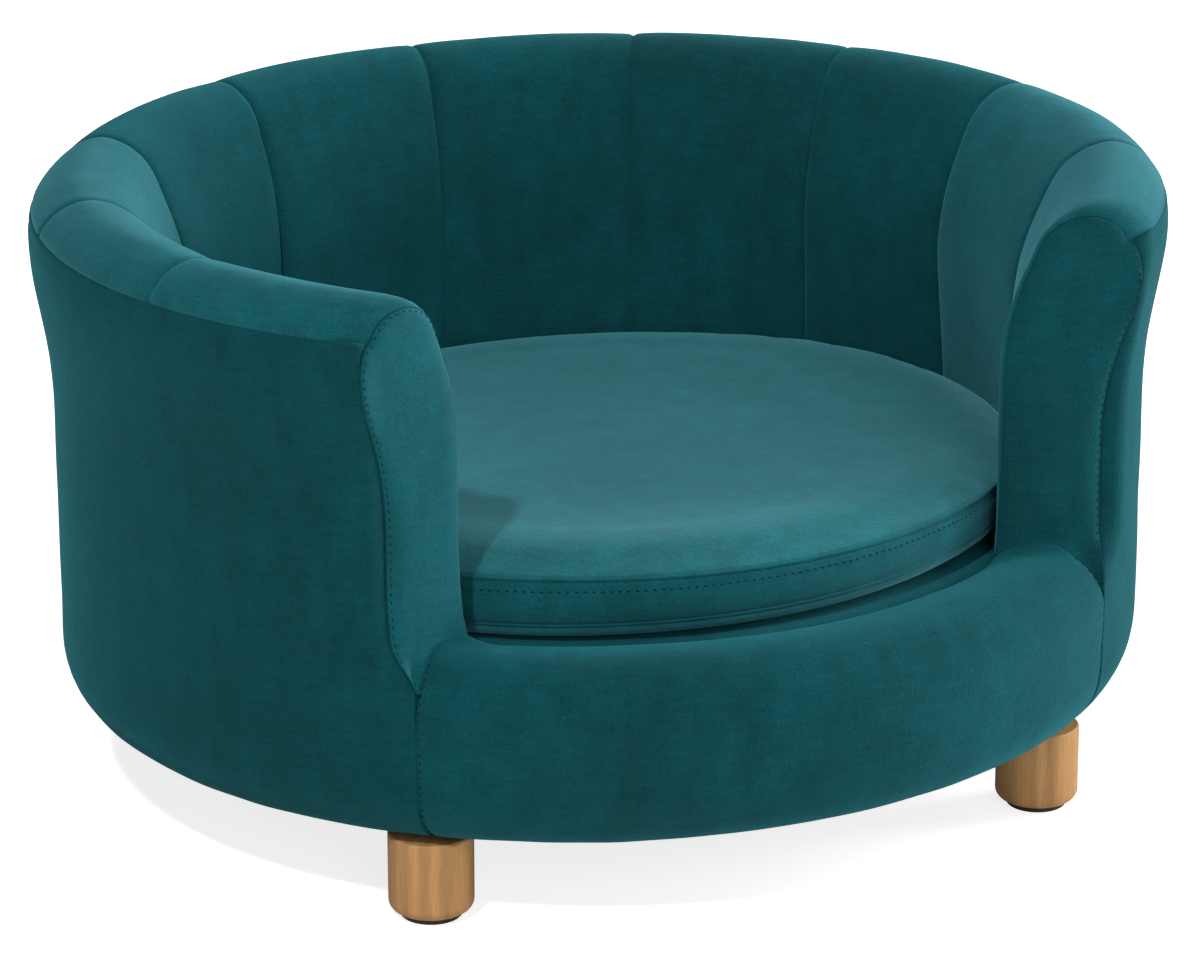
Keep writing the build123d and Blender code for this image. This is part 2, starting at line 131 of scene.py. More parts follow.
def colour_of(name, description, default):
    return FloatVectorProperty(
        name=name, description=description, subtype="COLOR", size=3, min=0, max=1, default=default)


class SofaSizes(bpy.types.PropertyGroup):
    """Sizes of the padding and the sewing"""

    channel_puff: in_mm("Channel puff", "How far a channel stands out from its seams", 8.0, 2.0, 12.0)
    seam_depth: in_mm("Seam depth", "How deep a seam is drawn in", 1.3, 0.0, 5.0)
    pucker: in_mm("Pucker", "Height of the small gathers beside the seams", 0.45, 0.0, 2.0)
    slackness: in_mm("Slackness", "Height of the soft waves in the cover", 0.8, 0.0, 3.0)
    face_puff: in_mm("Arm face puff", "How far an arm face stands out at its middle", 2.4, 0.0, 5.0)
    stitch_pitch: in_mm("Stitch pitch", "Distance from stitch to stitch", 5.0, 2.0, 10.0)
    stitch_length: in_mm("Stitch length", "Length of thread that shows in each stitch", 2.2, 1.0, 8.0)
    fillet_height: in_mm("Corner rise", "How far the apron climbs into the arm's corner", 7.0, 0.0, 30.0)
    cushion_swell: in_mm(
        "Cushion swell", "Furthest that the cushion's cover may move when it is filled", 4.0, 0.0, 12.0)
    seed: IntProperty(
        name="Seed", description="Start of the random places of waves and gathers", default=7, min=0)


class SofaColours(bpy.types.PropertyGroup):
    """Colours of the finishes"""

    velvet: colour_of("Velvet", "Ground colour of the pile", (0.0026, 0.0690, 0.0810))
    # Painted light: the cushion's ground is a lighter copy of the velvet's, so the seat reads brighter than the
    # walls under the same lamps
    cushion: colour_of(
        "Cushion velvet, painted lighter", "Ground colour of the cushion's pile, painted lighter than the walls' to stand for light",
        (0.0082, 0.1400, 0.1560))
    velvet_sheen: colour_of(
        "Velvet sheen", "Colour of the pile where it is seen along its surface", (0.31, 0.84, 1.0))
    thread: colour_of("Thread", "Colour of the sewing thread", (0.0010, 0.0180, 0.0230))
    pine: colour_of("Pine", "Colour of the legs between the grain lines", (0.80, 0.42, 0.155))
    lining: colour_of("Lining", "Colour of the lining under the seat", (0.012, 0.013, 0.014))


def sizes():
    return bpy.context.scene.sofa_sizes


def colours():
    return bpy.context.scene.sofa_colours


# Places on the oval plan

def on_plan(r, angle, z):
    """Points in metres from radii and heights in mm and angles in degrees from the back."""
    turn = np.radians(angle)
    x = r * np.sin(turn)
    y = DEPTH_SHARE * r * np.cos(turn) + PLAN_SHIFT
    return np.stack([x + 0 * z, y + 0 * z, z + 0 * x], axis=-1) * MM


def face_angle(r, setback=0.0):
    """Angle from the back at which a ring of this radius meets the arm face."""
    along = DEPTH_SHARE * r
    across = r * ARM_SKEW
    reach = -ARM_Y + ARM_X * ARM_SKEW + setback / ARM_COS
    far = np.hypot(along, across)
    return np.degrees(np.arctan2(across, along) + np.arccos(reach / far))


def wall_point(r, angle, z):
    """A point in mm on a ring of the right half, before the plan is shifted."""
    turn = math.radians(angle)
    return np.array([r * math.sin(turn), DEPTH_SHARE * r * math.cos(turn), z])


def face_point(s, z):
    """A point in mm on the right arm's face plane, by the distance along it and the height."""
    return np.array([ARM_X, -ARM_Y, z]) + FACE_ALONG * s


def corner_round(z):
    """How far inside the arm's outer corner the face's seam lies, at a height."""
    heights = (150, 245, 275, 297, 309, 319, 330, 343, 352, 360)
    return float(np.interp(z, heights, (12.0, 12.0, 10.0, 7.6, 5.5, 4.5, 4.0, 5.5, 7.5, 9.5)))


def face_setback(r, z, drawn):
    """How far the padded face is drawn back along its inner edge, at a ring and a height."""
    depth = np.interp(z, (160, 178, 200, 276, 300, 345), (0.5, 0.88, 1.0, 1.0, 0.88, 0.8)) * drawn
    return depth * smooth_step((322 - np.asarray(r)) / 45)


def arm_fullness(angle):
    """Share of the extra padding of the side walls, none at the back and at the arm's face."""
    turn = abs(angle)
    return float(smooth_step((turn - 35) / 40) * (1 - smooth_step((turn - 114) / 18)))


def arm_edge(r, z, share):
    """Round the arm's outer corner: from the wall, at share 0, to the face's seam, at share 1."""
    upper = float(smooth_step((z - 150) / 26))
    corner = float(face_angle(r))
    inset = corner_round(z)
    lead = float(np.interp(z, (172, 200, 245, 280, 330, 360), (0, -2.5, -2.5, 0, 4, 1)))
    s = (wall_point(r, corner, z)[0] - ARM_X) / ARM_COS - inset
    seam = wall_point(r, FRONT_SEAM, z) * (1 - upper) + (face_point(s, z) + FACE_AHEAD * (lead - 1.5)) * upper
    seam[2] -= 3 * float(smooth_step((z - 335) / 30))
    back = math.degrees((inset * upper + 9 * (1 - upper)) / r)
    turn = corner * upper + (FRONT_SEAM - back) * (1 - upper)
    start = wall_point(r, turn - back, z)
    middle = wall_point(r, turn, z)
    return start * (1 - share) ** 2 + middle * 2 * share * (1 - share) + seam * share ** 2, turn - back


def rounded_end(rows, share):
    """The rim's line drawn down and in towards the arm's face, all of it at share 1."""
    top = int(rows[:, 1].argmax())
    order = np.arange(len(rows))
    inside = np.clip((rows[:, 0] - 285) / 35, 0, 1) * (order <= top)
    outside = np.clip((rows[:, 0] - CREST_R) / (RIM_SEAM_R - CREST_R), 0, 1) * (order > top)
    round_by = 1 - math.sqrt(1 - share ** 2)
    drawn = rows.copy()
    drawn[:, 0] -= 9.5 * outside * round_by
    drawn[:, 1] -= (5.5 * inside + (5.5 - 2.5 * outside) * (order > top)) * round_by
    return drawn


def crest(angle):
    """Height of the rim, a little lower towards the arms."""
    return BACK_HEIGHT - CREST_DROP * (1 - math.cos(math.radians(angle))) / 2


def smooth_step(value):
    value = np.clip(value, 0, 1)
    return value * value * (3 - 2 * value)


def arc_through(first, second, third, count):
    """Points along the arc through three points, without the last."""
    (ax, ay), (bx, by), (cx, cy) = first, second, third
    d = 2 * (ax * (by - cy) + bx * (cy - ay) + cx * (ay - by))
    ox = ((ax * ax + ay * ay) * (by - cy) + (bx * bx + by * by) * (cy - ay) + (cx * cx + cy * cy) * (ay - by)) / d
    oy = ((ax * ax + ay * ay) * (cx - bx) + (bx * bx + by * by) * (ax - cx) + (cx * cx + cy * cy) * (bx - ax)) / d
    r = math.hypot(ax - ox, ay - oy)
    start = math.atan2(ay - oy, ax - ox)
    middle = (math.atan2(by - oy, bx - ox) - start) % math.tau
    end = (math.atan2(cy - oy, cx - ox) - start) % math.tau
    if middle > end:
        end -= math.tau
    turns = start + end * np.arange(count) / count
    return np.stack([ox + r * np.cos(turns), oy + r * np.sin(turns)], axis=1)


def straight(first, last, count):
    """Points along a line, without the last."""
    share = (np.arange(count) / count)[:, None]
    return np.array(first) * (1 - share) + np.array(last) * share


def eased(rows, times, keep=()):
    """A line of points with its corners rounded off."""
    rows = rows.copy()
    held = rows.copy()
    for _ in range(times):
        rows[1:-1] = rows[1:-1] / 2 + (rows[:-2] + rows[2:]) / 4
        for index in keep:
            rows[index] = held[index]
    return rows


def wall_section(angle, full):
    """Visible line of a channel from the foot over the rim to the outer seam."""
    top = crest(angle) - CREST_PUFF * (1 - full)
    middle_r = WELL_R - sizes().channel_puff * full - 4.5 * arm_fullness(angle)
    face_r = WELL_R - sizes().channel_puff * full - 10.0 * arm_fullness(angle)
    shoulder = (face_r + (CREST_R - face_r) * 0.33, WELL_FLARE_Z + (top - WELL_FLARE_Z) * 0.7)
    bend = (face_r + (shoulder[0] - face_r) * 0.3, WELL_FLARE_Z + (shoulder[1] - WELL_FLARE_Z) * 0.54)
    inner = (shoulder[0] + (CREST_R - shoulder[0]) * 0.42, shoulder[1] + (top - shoulder[1]) * 0.74)
    lip = (RIM_SEAM_R + LIP_PUFF * full, crest(angle) - RIM_SEAM_DROP)
    outer = (CREST_R + (lip[0] - CREST_R) * 0.56, lip[1] + (top - lip[1]) * 0.74)
    rows = [
        straight((FOOT_R, DECK_TOP), (middle_r, WELL_MID), 12),
        straight((middle_r, WELL_MID), (face_r, WELL_FLARE_Z), 10),
        arc_through((face_r, WELL_FLARE_Z), bend, shoulder, 14),
        arc_through(shoulder, inner, (CREST_R, top), 14),
        arc_through((CREST_R, top), outer, lip, 14),
        np.array([lip]),
    ]
    return eased(np.concatenate(rows), 3)


def bottom_edge():
    """Line of a cover round the bottom edge, under it and up behind the base."""
    low = COVER_R - EDGE_ROLL
    half = EDGE_ROLL * math.sqrt(0.5)
    return [
        arc_through((COVER_R, ROLL_Z), (low + half, ROLL_Z - half), (low, UNDERSIDE), 14),
        straight((low, UNDERSIDE), (TURN_R, UNDERSIDE), 4),
        np.array([(TURN_R, UNDERSIDE), (TURN_R, BASE_BOTTOM)]),
    ]


def outer_section():
    """Line of the outer wall by the arms, from the rim's seam down, round the bottom edge and under."""
    knots = np.array(COVER_LINE)
    heights = np.linspace(COVER_LINE[0][1], COVER_LINE[-1][1], 34)[:-1]
    upper = np.stack([np.interp(-heights, -knots[:, 1], knots[:, 0]), heights], axis=1)
    rows = [eased(upper, 6), straight(COVER_LINE[-1], (COVER_R, ROLL_Z), 24), *bottom_edge()]
    return eased(np.concatenate(rows), 3, keep=(0,))


def apron_section():
    """Line of the apron from its foot in the well over the top, down and under."""
    back = (FOOT_R + (APRON_CROWN_R - FOOT_R) * 0.45, DECK_TOP + (APRON_TOP - DECK_TOP) * 0.75)
    turn = (APRON_R - (APRON_R - APRON_CROWN_R) * 0.28, APRON_EDGE_Z + (APRON_TOP - APRON_EDGE_Z) * 0.72)
    rows = [
        straight((FOOT_R, SEAT_TOP), (FOOT_R, DECK_TOP), 4),
        arc_through((FOOT_R, DECK_TOP), back, (APRON_CROWN_R, APRON_TOP), 9),
        arc_through((APRON_CROWN_R, APRON_TOP), turn, (APRON_R, APRON_EDGE_Z), 16),
        straight((APRON_R, APRON_EDGE_Z), (COVER_R, ROLL_Z), 14),
        *bottom_edge(),
    ]
    return eased(np.concatenate(rows), 4, keep=(0,))


def cushion_section():
    """Half of the cushion's cut: the middle of the top, out to the seams and back under."""
    drawn = 1.5
    middle = (0.0, CUSHION_BOTTOM)
    foot = (CUSHION_R - 8.0, CUSHION_BOTTOM)
    turn = (CUSHION_R - 8.0 + 5.76, CUSHION_BOTTOM + 2.24)
    low = (CUSHION_R - drawn / 2, LOW_SEAM_Z)
    side = (CUSHION_R - drawn * 1.5, (LOW_SEAM_Z + TOP_SEAM_Z) / 2)
    high = (CUSHION_R, TOP_SEAM_Z)
    edge = (CUSHION_R * 0.93, CUSHION_TOP - CUSHION_CROWN * 0.56)
    crown = (CUSHION_R * 0.76, CUSHION_TOP - CUSHION_CROWN * 0.24)
    flat = (CUSHION_R * 0.38, CUSHION_TOP - CUSHION_CROWN * 0.24 * 0.22)
    top = [arc_through((0.0, CUSHION_TOP), flat, crown, 22), arc_through(crown, edge, high, 14), np.array([high])]
    boxing = [arc_through(high, side, low, 8), np.array([low])]
    base = [arc_through(low, turn, foot, 6), straight(foot, middle, 18), np.array([middle])]
    return np.concatenate(top), np.concatenate(boxing), np.concatenate(base)


# Meshes

def spread(count):
    """Shares from 0 to 1, closer together towards both ends."""
    return (1 - np.cos(np.pi * np.arange(count) / (count - 1))) / 2


def outward(rows):
    """Unit directions out of the cover along a line of points."""
    step = np.gradient(rows, axis=0)
    length = np.hypot(step[:, 0], step[:, 1])[:, None]
    return np.stack([-step[:, 1], step[:, 0]], axis=1) / np.maximum(length, 1e-9)


def grid_normals(grid):
    """Unit directions out of a grid of points whose rows run from the well outwards and down."""
    normal = np.cross(np.gradient(grid, axis=0), np.gradient(grid, axis=1))
    return normal / np.maximum(np.linalg.norm(normal, axis=2, keepdims=True), 1e-12)


def run_length(rows):
    """Distance along a line of points to each of them."""
    return np.concatenate([[0.0], np.cumsum(np.linalg.norm(np.diff(rows, axis=0), axis=1))])


def swell(share):
    """Fullness of a channel from seam to seam."""
    return (1 - abs(2 * share - 1) ** 2.4) ** 0.55


def wave(point, size, place):
    """Soft random height, from about -1 to 1, at a point in metres."""
    return noise.noise(Vector(point) * (1000 / size) + Vector((place * 3.7, place * 1.3, sizes().seed)))


def gathers(along, place, pitch):
    """Small tucks beside a seam, by the distance along it in mm."""
    return noise.noise(Vector((along / pitch, place * 5.1, sizes().seed * 1.7)))


def tucks(along, place, pitch, near, reach):
    """Tucks that fade away from their seam, and close to it."""
    drawn = sizes().pucker * math.exp(-near / reach) * (1 - math.exp(-near / 2.5))
    return np.array([gathers(s, place, pitch) for s in along]) * drawn


def slack(point, wide, narrow, place):
    """Soft waves of two sizes in a cover."""
    return wave(point, wide, place) * 0.6 + wave(point, narrow, place + 4) * 0.4


def add_mesh(name, points, faces, finish):
    mesh = bpy.data.meshes.new(name)
    mesh.from_pydata([tuple(point) for point in points], [], faces)
    work = bmesh.new()
    work.from_mesh(mesh)
    bmesh.ops.recalc_face_normals(work, faces=work.faces[:])
    work.to_mesh(mesh)
    work.free()
    mesh.validate()
    mesh.shade_smooth()
    mesh.materials.append(finish)
    piece = bpy.data.objects.new(name, mesh)
    bpy.context.collection.objects.link(piece)
    return piece


def ring_round(loops):
    """Closed skin over closed loops that run in a ring themselves."""
    layers, count = loops.shape[:2]
    faces = []
    for i in range(layers):
        k = (i + 1) % layers
        for j in range(count):
            m = (j + 1) % count
            faces.append((i * count + j, i * count + m, k * count + m, k * count + j))
    return loops.reshape(-1, 3), faces


def skin_of(loops):
    """Closed skin over a row of closed loops, with a face over each end."""
    points, faces = ring_round(loops)
    sides = loops.shape[1]
    del faces[-sides:]
    faces.append(tuple(range(sides)))
    faces.append(tuple(len(points) - 1 - j for j in range(sides)))
    return points, faces


def joined(skins):
    """Many small skins as one."""
    points = []
    faces = []
    for more, sides in skins:
        start = len(points)
        faces.extend(tuple(start + index for index in side) for side in sides)
        points.extend(more)
    return points, faces


def upholster(name, skin, finish, body, node):
    """A soft piece that stands for one of the frame's solids."""
    piece = add_mesh(name, *skin, finish_of(finish))
    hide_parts(node)
    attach(piece, body)


def trimming(name, skin, finish, body):
    """A fine seam, stitch row or row of teeth that stands for no solid."""
    piece = add_mesh(name, *skin, finish_of(finish))
    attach(piece, body)


def ring_skin(rings):
    """Faces over rings of points whose first ring is one point at the centre."""
    count = rings.shape[1]
    points = [rings[0, 0]]
    for ring in rings[1:]:
        points.extend(ring)
    faces = [(0, 1 + j, 1 + (j + 1) % count) for j in range(count)]
    for i in range(len(rings) - 2):
        for j in range(count):
            k = (j + 1) % count
            a = 1 + i * count
            faces.append((a + j, a + count + j, a + count + k, a + k))
    return points, faces


def closed_rings(rings):
    """Closed skin over rings whose first and last ring are one point each."""
    points, faces = ring_skin(rings[:-1])
    points.append(rings[-1, 0])
    count = rings.shape[1]
    start = 1 + (len(rings) - 3) * count
    faces.extend((start + j, len(points) - 1, start + (j + 1) % count) for j in range(count))
    return points, faces


def tube(path, run, out, radius, sides):
    """Loops of points round a path in metres, one loop for each of its points."""
    side = np.cross(run, out)
    side /= np.linalg.norm(side, axis=1, keepdims=True)
    turns = np.arange(sides) * math.tau / sides
    return np.stack([path + (out * math.cos(turn) + side * math.sin(turn)) * radius for turn in turns], axis=1)


def sew(name, path, out, body):
    """A row of short raised stitches along a path in metres, one mesh for the row."""
    path = np.asarray(path)
    along = run_length(path)
    pitch = sizes().stitch_pitch * MM
    half = sizes().stitch_length * MM / 2
    stitches = []

    def at(distance, table):
        return np.array([np.interp(distance, along, table[:, axis]) for axis in range(3)])

    for middle in np.arange(pitch, along[-1] - pitch / 2, pitch):
        first, last = at(middle - half, path), at(middle + half, path)
        normal = at(middle, out)
        normal /= np.linalg.norm(normal)
        run = last - first
        run /= np.linalg.norm(run)
        side = np.cross(run, normal)
        loops = []
        for share, wide in ((0.0, 0.25), (0.22, 0.85), (0.5, 1.0), (0.78, 0.85), (1.0, 0.25)):
            rise = STITCH_RISE * math.sin(math.pi * share) - STITCH_SUNK
            centre = first * (1 - share) + last * share + normal * rise
            loops.append([
                centre + (side * math.cos(angle) + normal * math.sin(angle)) * STITCH_R * wide
                for angle in np.arange(6) * math.tau / 6])
        stitches.append(skin_of(np.array(loops)))
    trimming(name, joined(stitches), "thread", body)


# Finishes

def fill_inputs(tree, node, inputs):
    """Link each input that is given a socket, and set every other one."""
    for name, value in inputs.items():
        if isinstance(value, bpy.types.NodeSocket):
            tree.links.new(value, node.inputs[name])
        else:
            node.inputs[name].default_value = value


def add_node(tree, kind, inputs):
    node = tree.nodes.new(f"ShaderNode{kind}")
    fill_inputs(tree, node, inputs)
    return node


def new_finish(name):
    finish = bpy.data.materials.new(name)
    finish.use_nodes = True
    tree = finish.node_tree
    return finish, tree, add_node(tree, "TexCoord", {}).outputs["Object"]


def covered(finish, inputs):
    """The finish, with the inputs of its surface filled in."""
    fill_inputs(finish.node_tree, finish.node_tree.nodes["Principled BSDF"], inputs)
    return finish


def grain_noise(tree, place, scale, detail=3.0, roughness=0.5, stretch=None):
    if stretch:
        place = add_node(tree, "Mapping", {"Scale": stretch, "Vector": place}).outputs["Vector"]
    texture = {"Scale": scale, "Detail": detail, "Roughness": roughness, "Vector": place}
    return add_node(tree, "TexNoise", texture).outputs["Fac"]


def between(tree, factor, low, high, start=0.3, end=0.7):
    """A value that runs from low to high as the factor goes from start to end."""
    ramp = {"From Min": start, "From Max": end, "To Min": low, "To Max": high, "Value": factor}
    return add_node(tree, "MapRange", ramp).outputs["Result"]


def tinted(tree, factor, dark, light):
    mix = add_node(tree, "Mix", {0: factor})
    mix.data_type = "RGBA"
    fill_inputs(tree, mix, {6: (*dark, 1), 7: (*light, 1)})
    return mix.outputs[2]


def times(tree, colour, value):
    """A colour made lighter or darker by a value."""
    scale = add_node(tree, "VectorMath", {})
    scale.operation = "SCALE"
    fill_inputs(tree, scale, {0: colour, "Scale": value})
    return scale.outputs[0]


def raised(tree, height, distance, strength=1.0, below=None):
    """The surface's direction, changed by a fine relief."""
    inputs = {"Distance": distance, "Strength": strength, "Height": height}
    if below:
        inputs["Normal"] = below
    return add_node(tree, "Bump", inputs).outputs["Normal"]


def shade(colour, amount):
    return tuple(min(1.0, channel * amount) for channel in colour)


# The sheen weight is raised or lowered in the lighter and darker copies below, as painted light and shade
def velvet_finish(name, ground, sheen_and_painted_light, tint):
    """Short cut pile: dark seen straight on, pale along its surface, brushed in soft patches."""
    finish, tree, place = new_finish(name)
    brushed = grain_noise(tree, place, 7.0, 4.0, 0.6)
    marks = grain_noise(tree, place, 55.0, 3.0, 0.6, (1.0, 1.0, 0.45))
    rows = grain_noise(tree, place, 420.0, 2.0, 0.5, (0.12, 0.12, 1.0))
    pile = grain_noise(tree, place, 900.0, 2.0, 0.7)
    colour = tinted(tree, between(tree, brushed, 0, 1), shade(ground, 0.82), shade(ground, 1.2))
    for grain, low, high in ((marks, 0.84, 1.16), (rows, 0.9, 1.1), (pile, 0.7, 1.3)):
        colour = times(tree, colour, between(tree, grain, low, high))
    backing = raised(tree, grain_noise(tree, place, 240.0, 3.0, 0.65), 0.0012, 0.25)
    return covered(finish, {
        "Base Color": colour, "Roughness": between(tree, brushed, 0.82, 0.95), "Specular IOR Level": 0.12,
        "Sheen Weight": sheen_and_painted_light, "Sheen Roughness": 0.55, "Sheen Tint": (*tint, 1),
        "Normal": raised(tree, pile, 0.0005, 0.5, backing)})


def thread_finish():
    """Twisted sewing thread, a little darker than the velvet."""
    finish, tree, place = new_finish("sewing_thread")
    thread = tuple(colours().thread)
    twist = grain_noise(tree, place, 2600.0, 2.0)
    return covered(finish, {
        "Base Color": tinted(tree, twist, shade(thread, 0.6), shade(thread, 1.35)), "Roughness": 0.7,
        "Specular IOR Level": 0.08, "Sheen Weight": 0.15, "Sheen Tint": (*colours().velvet_sheen, 1),
        "Normal": raised(tree, twist, 0.0003, 0.6)})


def wood_finish(name, colour, grain_axis=2, ring=26.0, contrast=0.6, rough=0.55):
    """Bare wood or board with long grain, fine pores and faint growth lines."""
    finish, tree, place = new_finish(name)
    stretch = [1.0, 1.0, 1.0]
    stretch[grain_axis] = 0.06
    stretch = tuple(stretch)
    grain = grain_noise(tree, place, ring * 4, 4.0, 0.55, stretch)
    pores = grain_noise(tree, place, 900.0, 2.0, 0.6, stretch)
    turned = {"Scale": stretch, "Rotation": (0.05, 0.07, 0.6), "Vector": place}
    lines = add_node(tree, "TexWave", {
        "Scale": ring, "Distortion": 5.0, "Detail": 3.0, "Detail Scale": 1.2,
        "Vector": add_node(tree, "Mapping", turned).outputs["Vector"]})
    lines.wave_type = "BANDS"
    lines.bands_direction = "X" if grain_axis != 0 else "Y"
    dark, light = shade(colour, 1 - contrast * 0.35), shade(colour, 1.1)
    tone = tinted(tree, between(tree, grain, 0, 1, 0.25, 0.75), dark, light)
    tone = times(tree, tone, between(tree, lines.outputs["Fac"], 1 - contrast * 0.3, 1.05, 0, 1))
    tone = times(tree, tone, between(tree, pores, 0.86, 1.06))
    return covered(finish, {
        "Base Color": tone, "Roughness": between(tree, grain, rough - 0.07, rough + 0.1),
        "Normal": raised(tree, pores, 0.0002, 0.4)})


def metal_finish(name, colour, rough):
    """Plated or cast metal with fine scratches and dull patches."""
    finish, tree, place = new_finish(name)
    patches = grain_noise(tree, place, 130.0, 4.0)
    scratches = grain_noise(tree, place, 1500.0, 2.0, 0.6, (1.0, 0.08, 1.0))
    return covered(finish, {
        "Base Color": tinted(tree, patches, shade(colour, 0.75), shade(colour, 1.1)), "Metallic": 1.0,
        "Roughness": between(tree, scratches, rough - 0.08, rough + 0.14),
        "Normal": raised(tree, scratches, 0.00005, 0.5)})


def foam_finish():
    """Open-cell upholstery foam, cream, with fine pits."""
    finish, tree, place = new_finish("seat_foam")
    cells = add_node(tree, "TexVoronoi", {"Scale": 700.0, "Vector": place}).outputs["Distance"]
    tone = tinted(tree, cells, (0.30, 0.27, 0.16), (0.78, 0.72, 0.50))
    return covered(finish, {
        "Base Color": times(tree, tone, between(tree, grain_noise(tree, place, 20.0), 0.92, 1.05)),
        "Roughness": 0.95, "Normal": raised(tree, cells, 0.0008, 0.6)})


def lining_finish():
    """Thin black spunbond cloth with a pressed dot pattern."""
    finish, tree, place = new_finish("spunbond_lining")
    lining = tuple(colours().lining)
    pressed = {"Scale": 620.0, "Randomness": 0.15, "Vector": place}
    dots = add_node(tree, "TexVoronoi", pressed).outputs["Distance"]
    fibres = grain_noise(tree, place, 480.0, 4.0, 0.7)
    return covered(finish, {
        "Base Color": tinted(tree, fibres, shade(lining, 0.6), shade(lining, 2.2)),
        "Roughness": between(tree, dots, 0.55, 0.9, 0.0, 0.6), "Normal": raised(tree, dots, 0.0003, 0.5)})


def tape_finish():
    """Woven zip tape with ribs along its length."""
    finish, tree, place = new_finish("zip_tape")
    weave = tuple(colours().velvet)
    ribs = grain_noise(tree, place, 1700.0, 1.0, 0.4, (0.25, 0.25, 1.0))
    return covered(finish, {
        "Base Color": tinted(tree, ribs, shade(weave, 0.7), shade(weave, 1.5)), "Roughness": 0.8,
        "Normal": raised(tree, ribs, 0.0003, 0.6)})


def plastic_finish():
    """Dark moulded plastic, finely textured and scuffed in random patches."""
    finish, tree, place = new_finish("glide_plastic")
    scuffs = grain_noise(tree, place, 320.0, 4.0, 0.7)
    return covered(finish, {
        "Base Color": tinted(tree, scuffs, (0.012, 0.011, 0.010), (0.045, 0.042, 0.038)),
        "Roughness": between(tree, scuffs, 0.42, 0.62),
        "Normal": raised(tree, grain_noise(tree, place, 1400.0), 0.0001, 0.4)})


FINISHES = {}


def finish_of(name):
    """A finish by its name, made once."""
    makers = {
        "velvet": lambda: velvet_finish("teal_velvet", tuple(colours().velvet), 0.26, (0.12, 0.84, 1.0)),
        # Painted shade: a darker copy of the velvet, with less sheen, for the outer wrap and the arms' seam lines
        "painted_shade_velvet": lambda: velvet_finish(
            "teal_velvet_painted_shade", shade(colours().velvet, 0.86), 0.22, (0.10, 0.84, 1.0)),
        # Painted light: a lighter copy of the velvet, ground times 1.45 and more sheen, for the end channel pads,
        # the left arm's face and the cushion's boxing and seams
        "painted_light_velvet": lambda: velvet_finish(
            "teal_velvet_painted_light", shade(colours().velvet, 1.45), 0.40, (0.24, 0.84, 1.0)),
        # Painted light: the cushion's lighter ground and stronger sheen, for its top and base panels
        "cushion_painted_light_velvet": lambda: velvet_finish(
            "teal_velvet_cushion_painted_light", tuple(colours().cushion), 0.58, tuple(colours().velvet_sheen)),
        "thread": thread_finish,
        "foam": foam_finish,
        "lining": lining_finish,
        "zip_tape": tape_finish,
        "glide_plastic": plastic_finish,
        "pine": lambda: wood_finish("light_pine", tuple(colours().pine)),
        "plywood": lambda: wood_finish("birch_plywood", (0.56, 0.41, 0.25), 0, 18.0, 0.5, 0.7),
        "hardboard": lambda: wood_finish("brown_hardboard", (0.21, 0.115, 0.055), 1, 60.0, 0.3, 0.6),
        "zinc_steel": lambda: metal_finish("zinc_steel", (0.62, 0.63, 0.66), 0.36),
        "zip_metal": lambda: metal_finish("zip_metal", (0.30, 0.29, 0.28), 0.32),
    }
    if name not in FINISHES:
        FINISHES[name] = makers[name]()
    return FINISHES[name]


# Pieces

WALL_BACK = np.array([
    (RAIL_OUT_R, RAIL_TOP + 0.3), (RAIL_IN_R, RAIL_TOP + 0.3), (RAIL_IN_R, RAIL_TOP - 12),
    (BACK_R, SKIN_TOP), (BACK_R, SEAT_TOP), (FOOT_R, SEAT_TOP)])


def wall_grid(shares, line, turn, push, back):
    """Loops of points round one upholstered length: a visible line and its hidden back."""
    loops = []
    for share in shares:
        rows = line(share)
        rows = rows + outward(rows) * push(share, rows)[:, None]
        rows = np.concatenate([rows, back])
        loops.append(on_plan(rows[:, 0], turn(share, rows), rows[:, 1]))
    return np.array(loops)


def crumple(loops, visible, shares, amount, place, seam_width):
    """Adds soft waves to the visible part, none of them at the seams."""
    grid = loops[:, :visible]
    normal = -grid_normals(grid)
    wide = seam_width * MM
    for i, share in enumerate(shares):
        for j in range(1, visible - 1):
            point = grid[i, j]
            near = min(share, 1 - share) * wide
            ends = min(j, visible - 1 - j) / 6
            hold = min(1.0, near / 0.012) * min(1.0, ends)
            loops[i, j] = point + normal[i, j] * slack(point, 70, 27, place) * amount * MM * hold
    return loops


def channel_pad(number, start, end):
    """One upright pad, seam to seam, or to the arm's face for the first and last."""
    shares = spread(30)
    to_face = end > FIRST_SEAM + 1
    seam_depth = sizes().seam_depth
    width = math.radians(end - start) * 300

    def angle_of(share):
        return start + (end - start) * share + (share - 0.5) * 0.16

    def turn(share, rows):
        if not to_face:
            return np.full(len(rows), angle_of(share))
        drawn = FACE_DRAWN["left" if number == 1 else "right"]
        last = face_angle(rows[:, 0], 1.5 + face_setback(rows[:, 0], rows[:, 1], drawn))
        return start - 0.08 + (last - start + 0.08) * share

    def line(share):
        rows = wall_section(angle_of(share), swell(share))
        if not to_face:
            return rows
        return rounded_end(rows, max(0.0, (share - 0.86) / 0.14))

    def push(share, rows):
        along = run_length(rows)
        total = along[-1]
        near = min(share, 1 - share) * width
        side = 0 if share < 0.5 else 1
        sunk = -seam_depth * math.exp(-((near / 1.9) ** 2))
        lift = tucks(along, number * 2 + side, 11.0, near, 11)
        rim = -0.9 * np.exp(-(((total - along) / 1.6) ** 2))
        return sunk + lift + rim

    loops = wall_grid(shares, line, turn, push, WALL_BACK)
    visible = loops.shape[1] - len(WALL_BACK)
    return crumple(loops, visible, shares, sizes().slackness, number, width)


def mirrored(loops):
    return loops * np.array([-1.0, 1.0, 1.0])


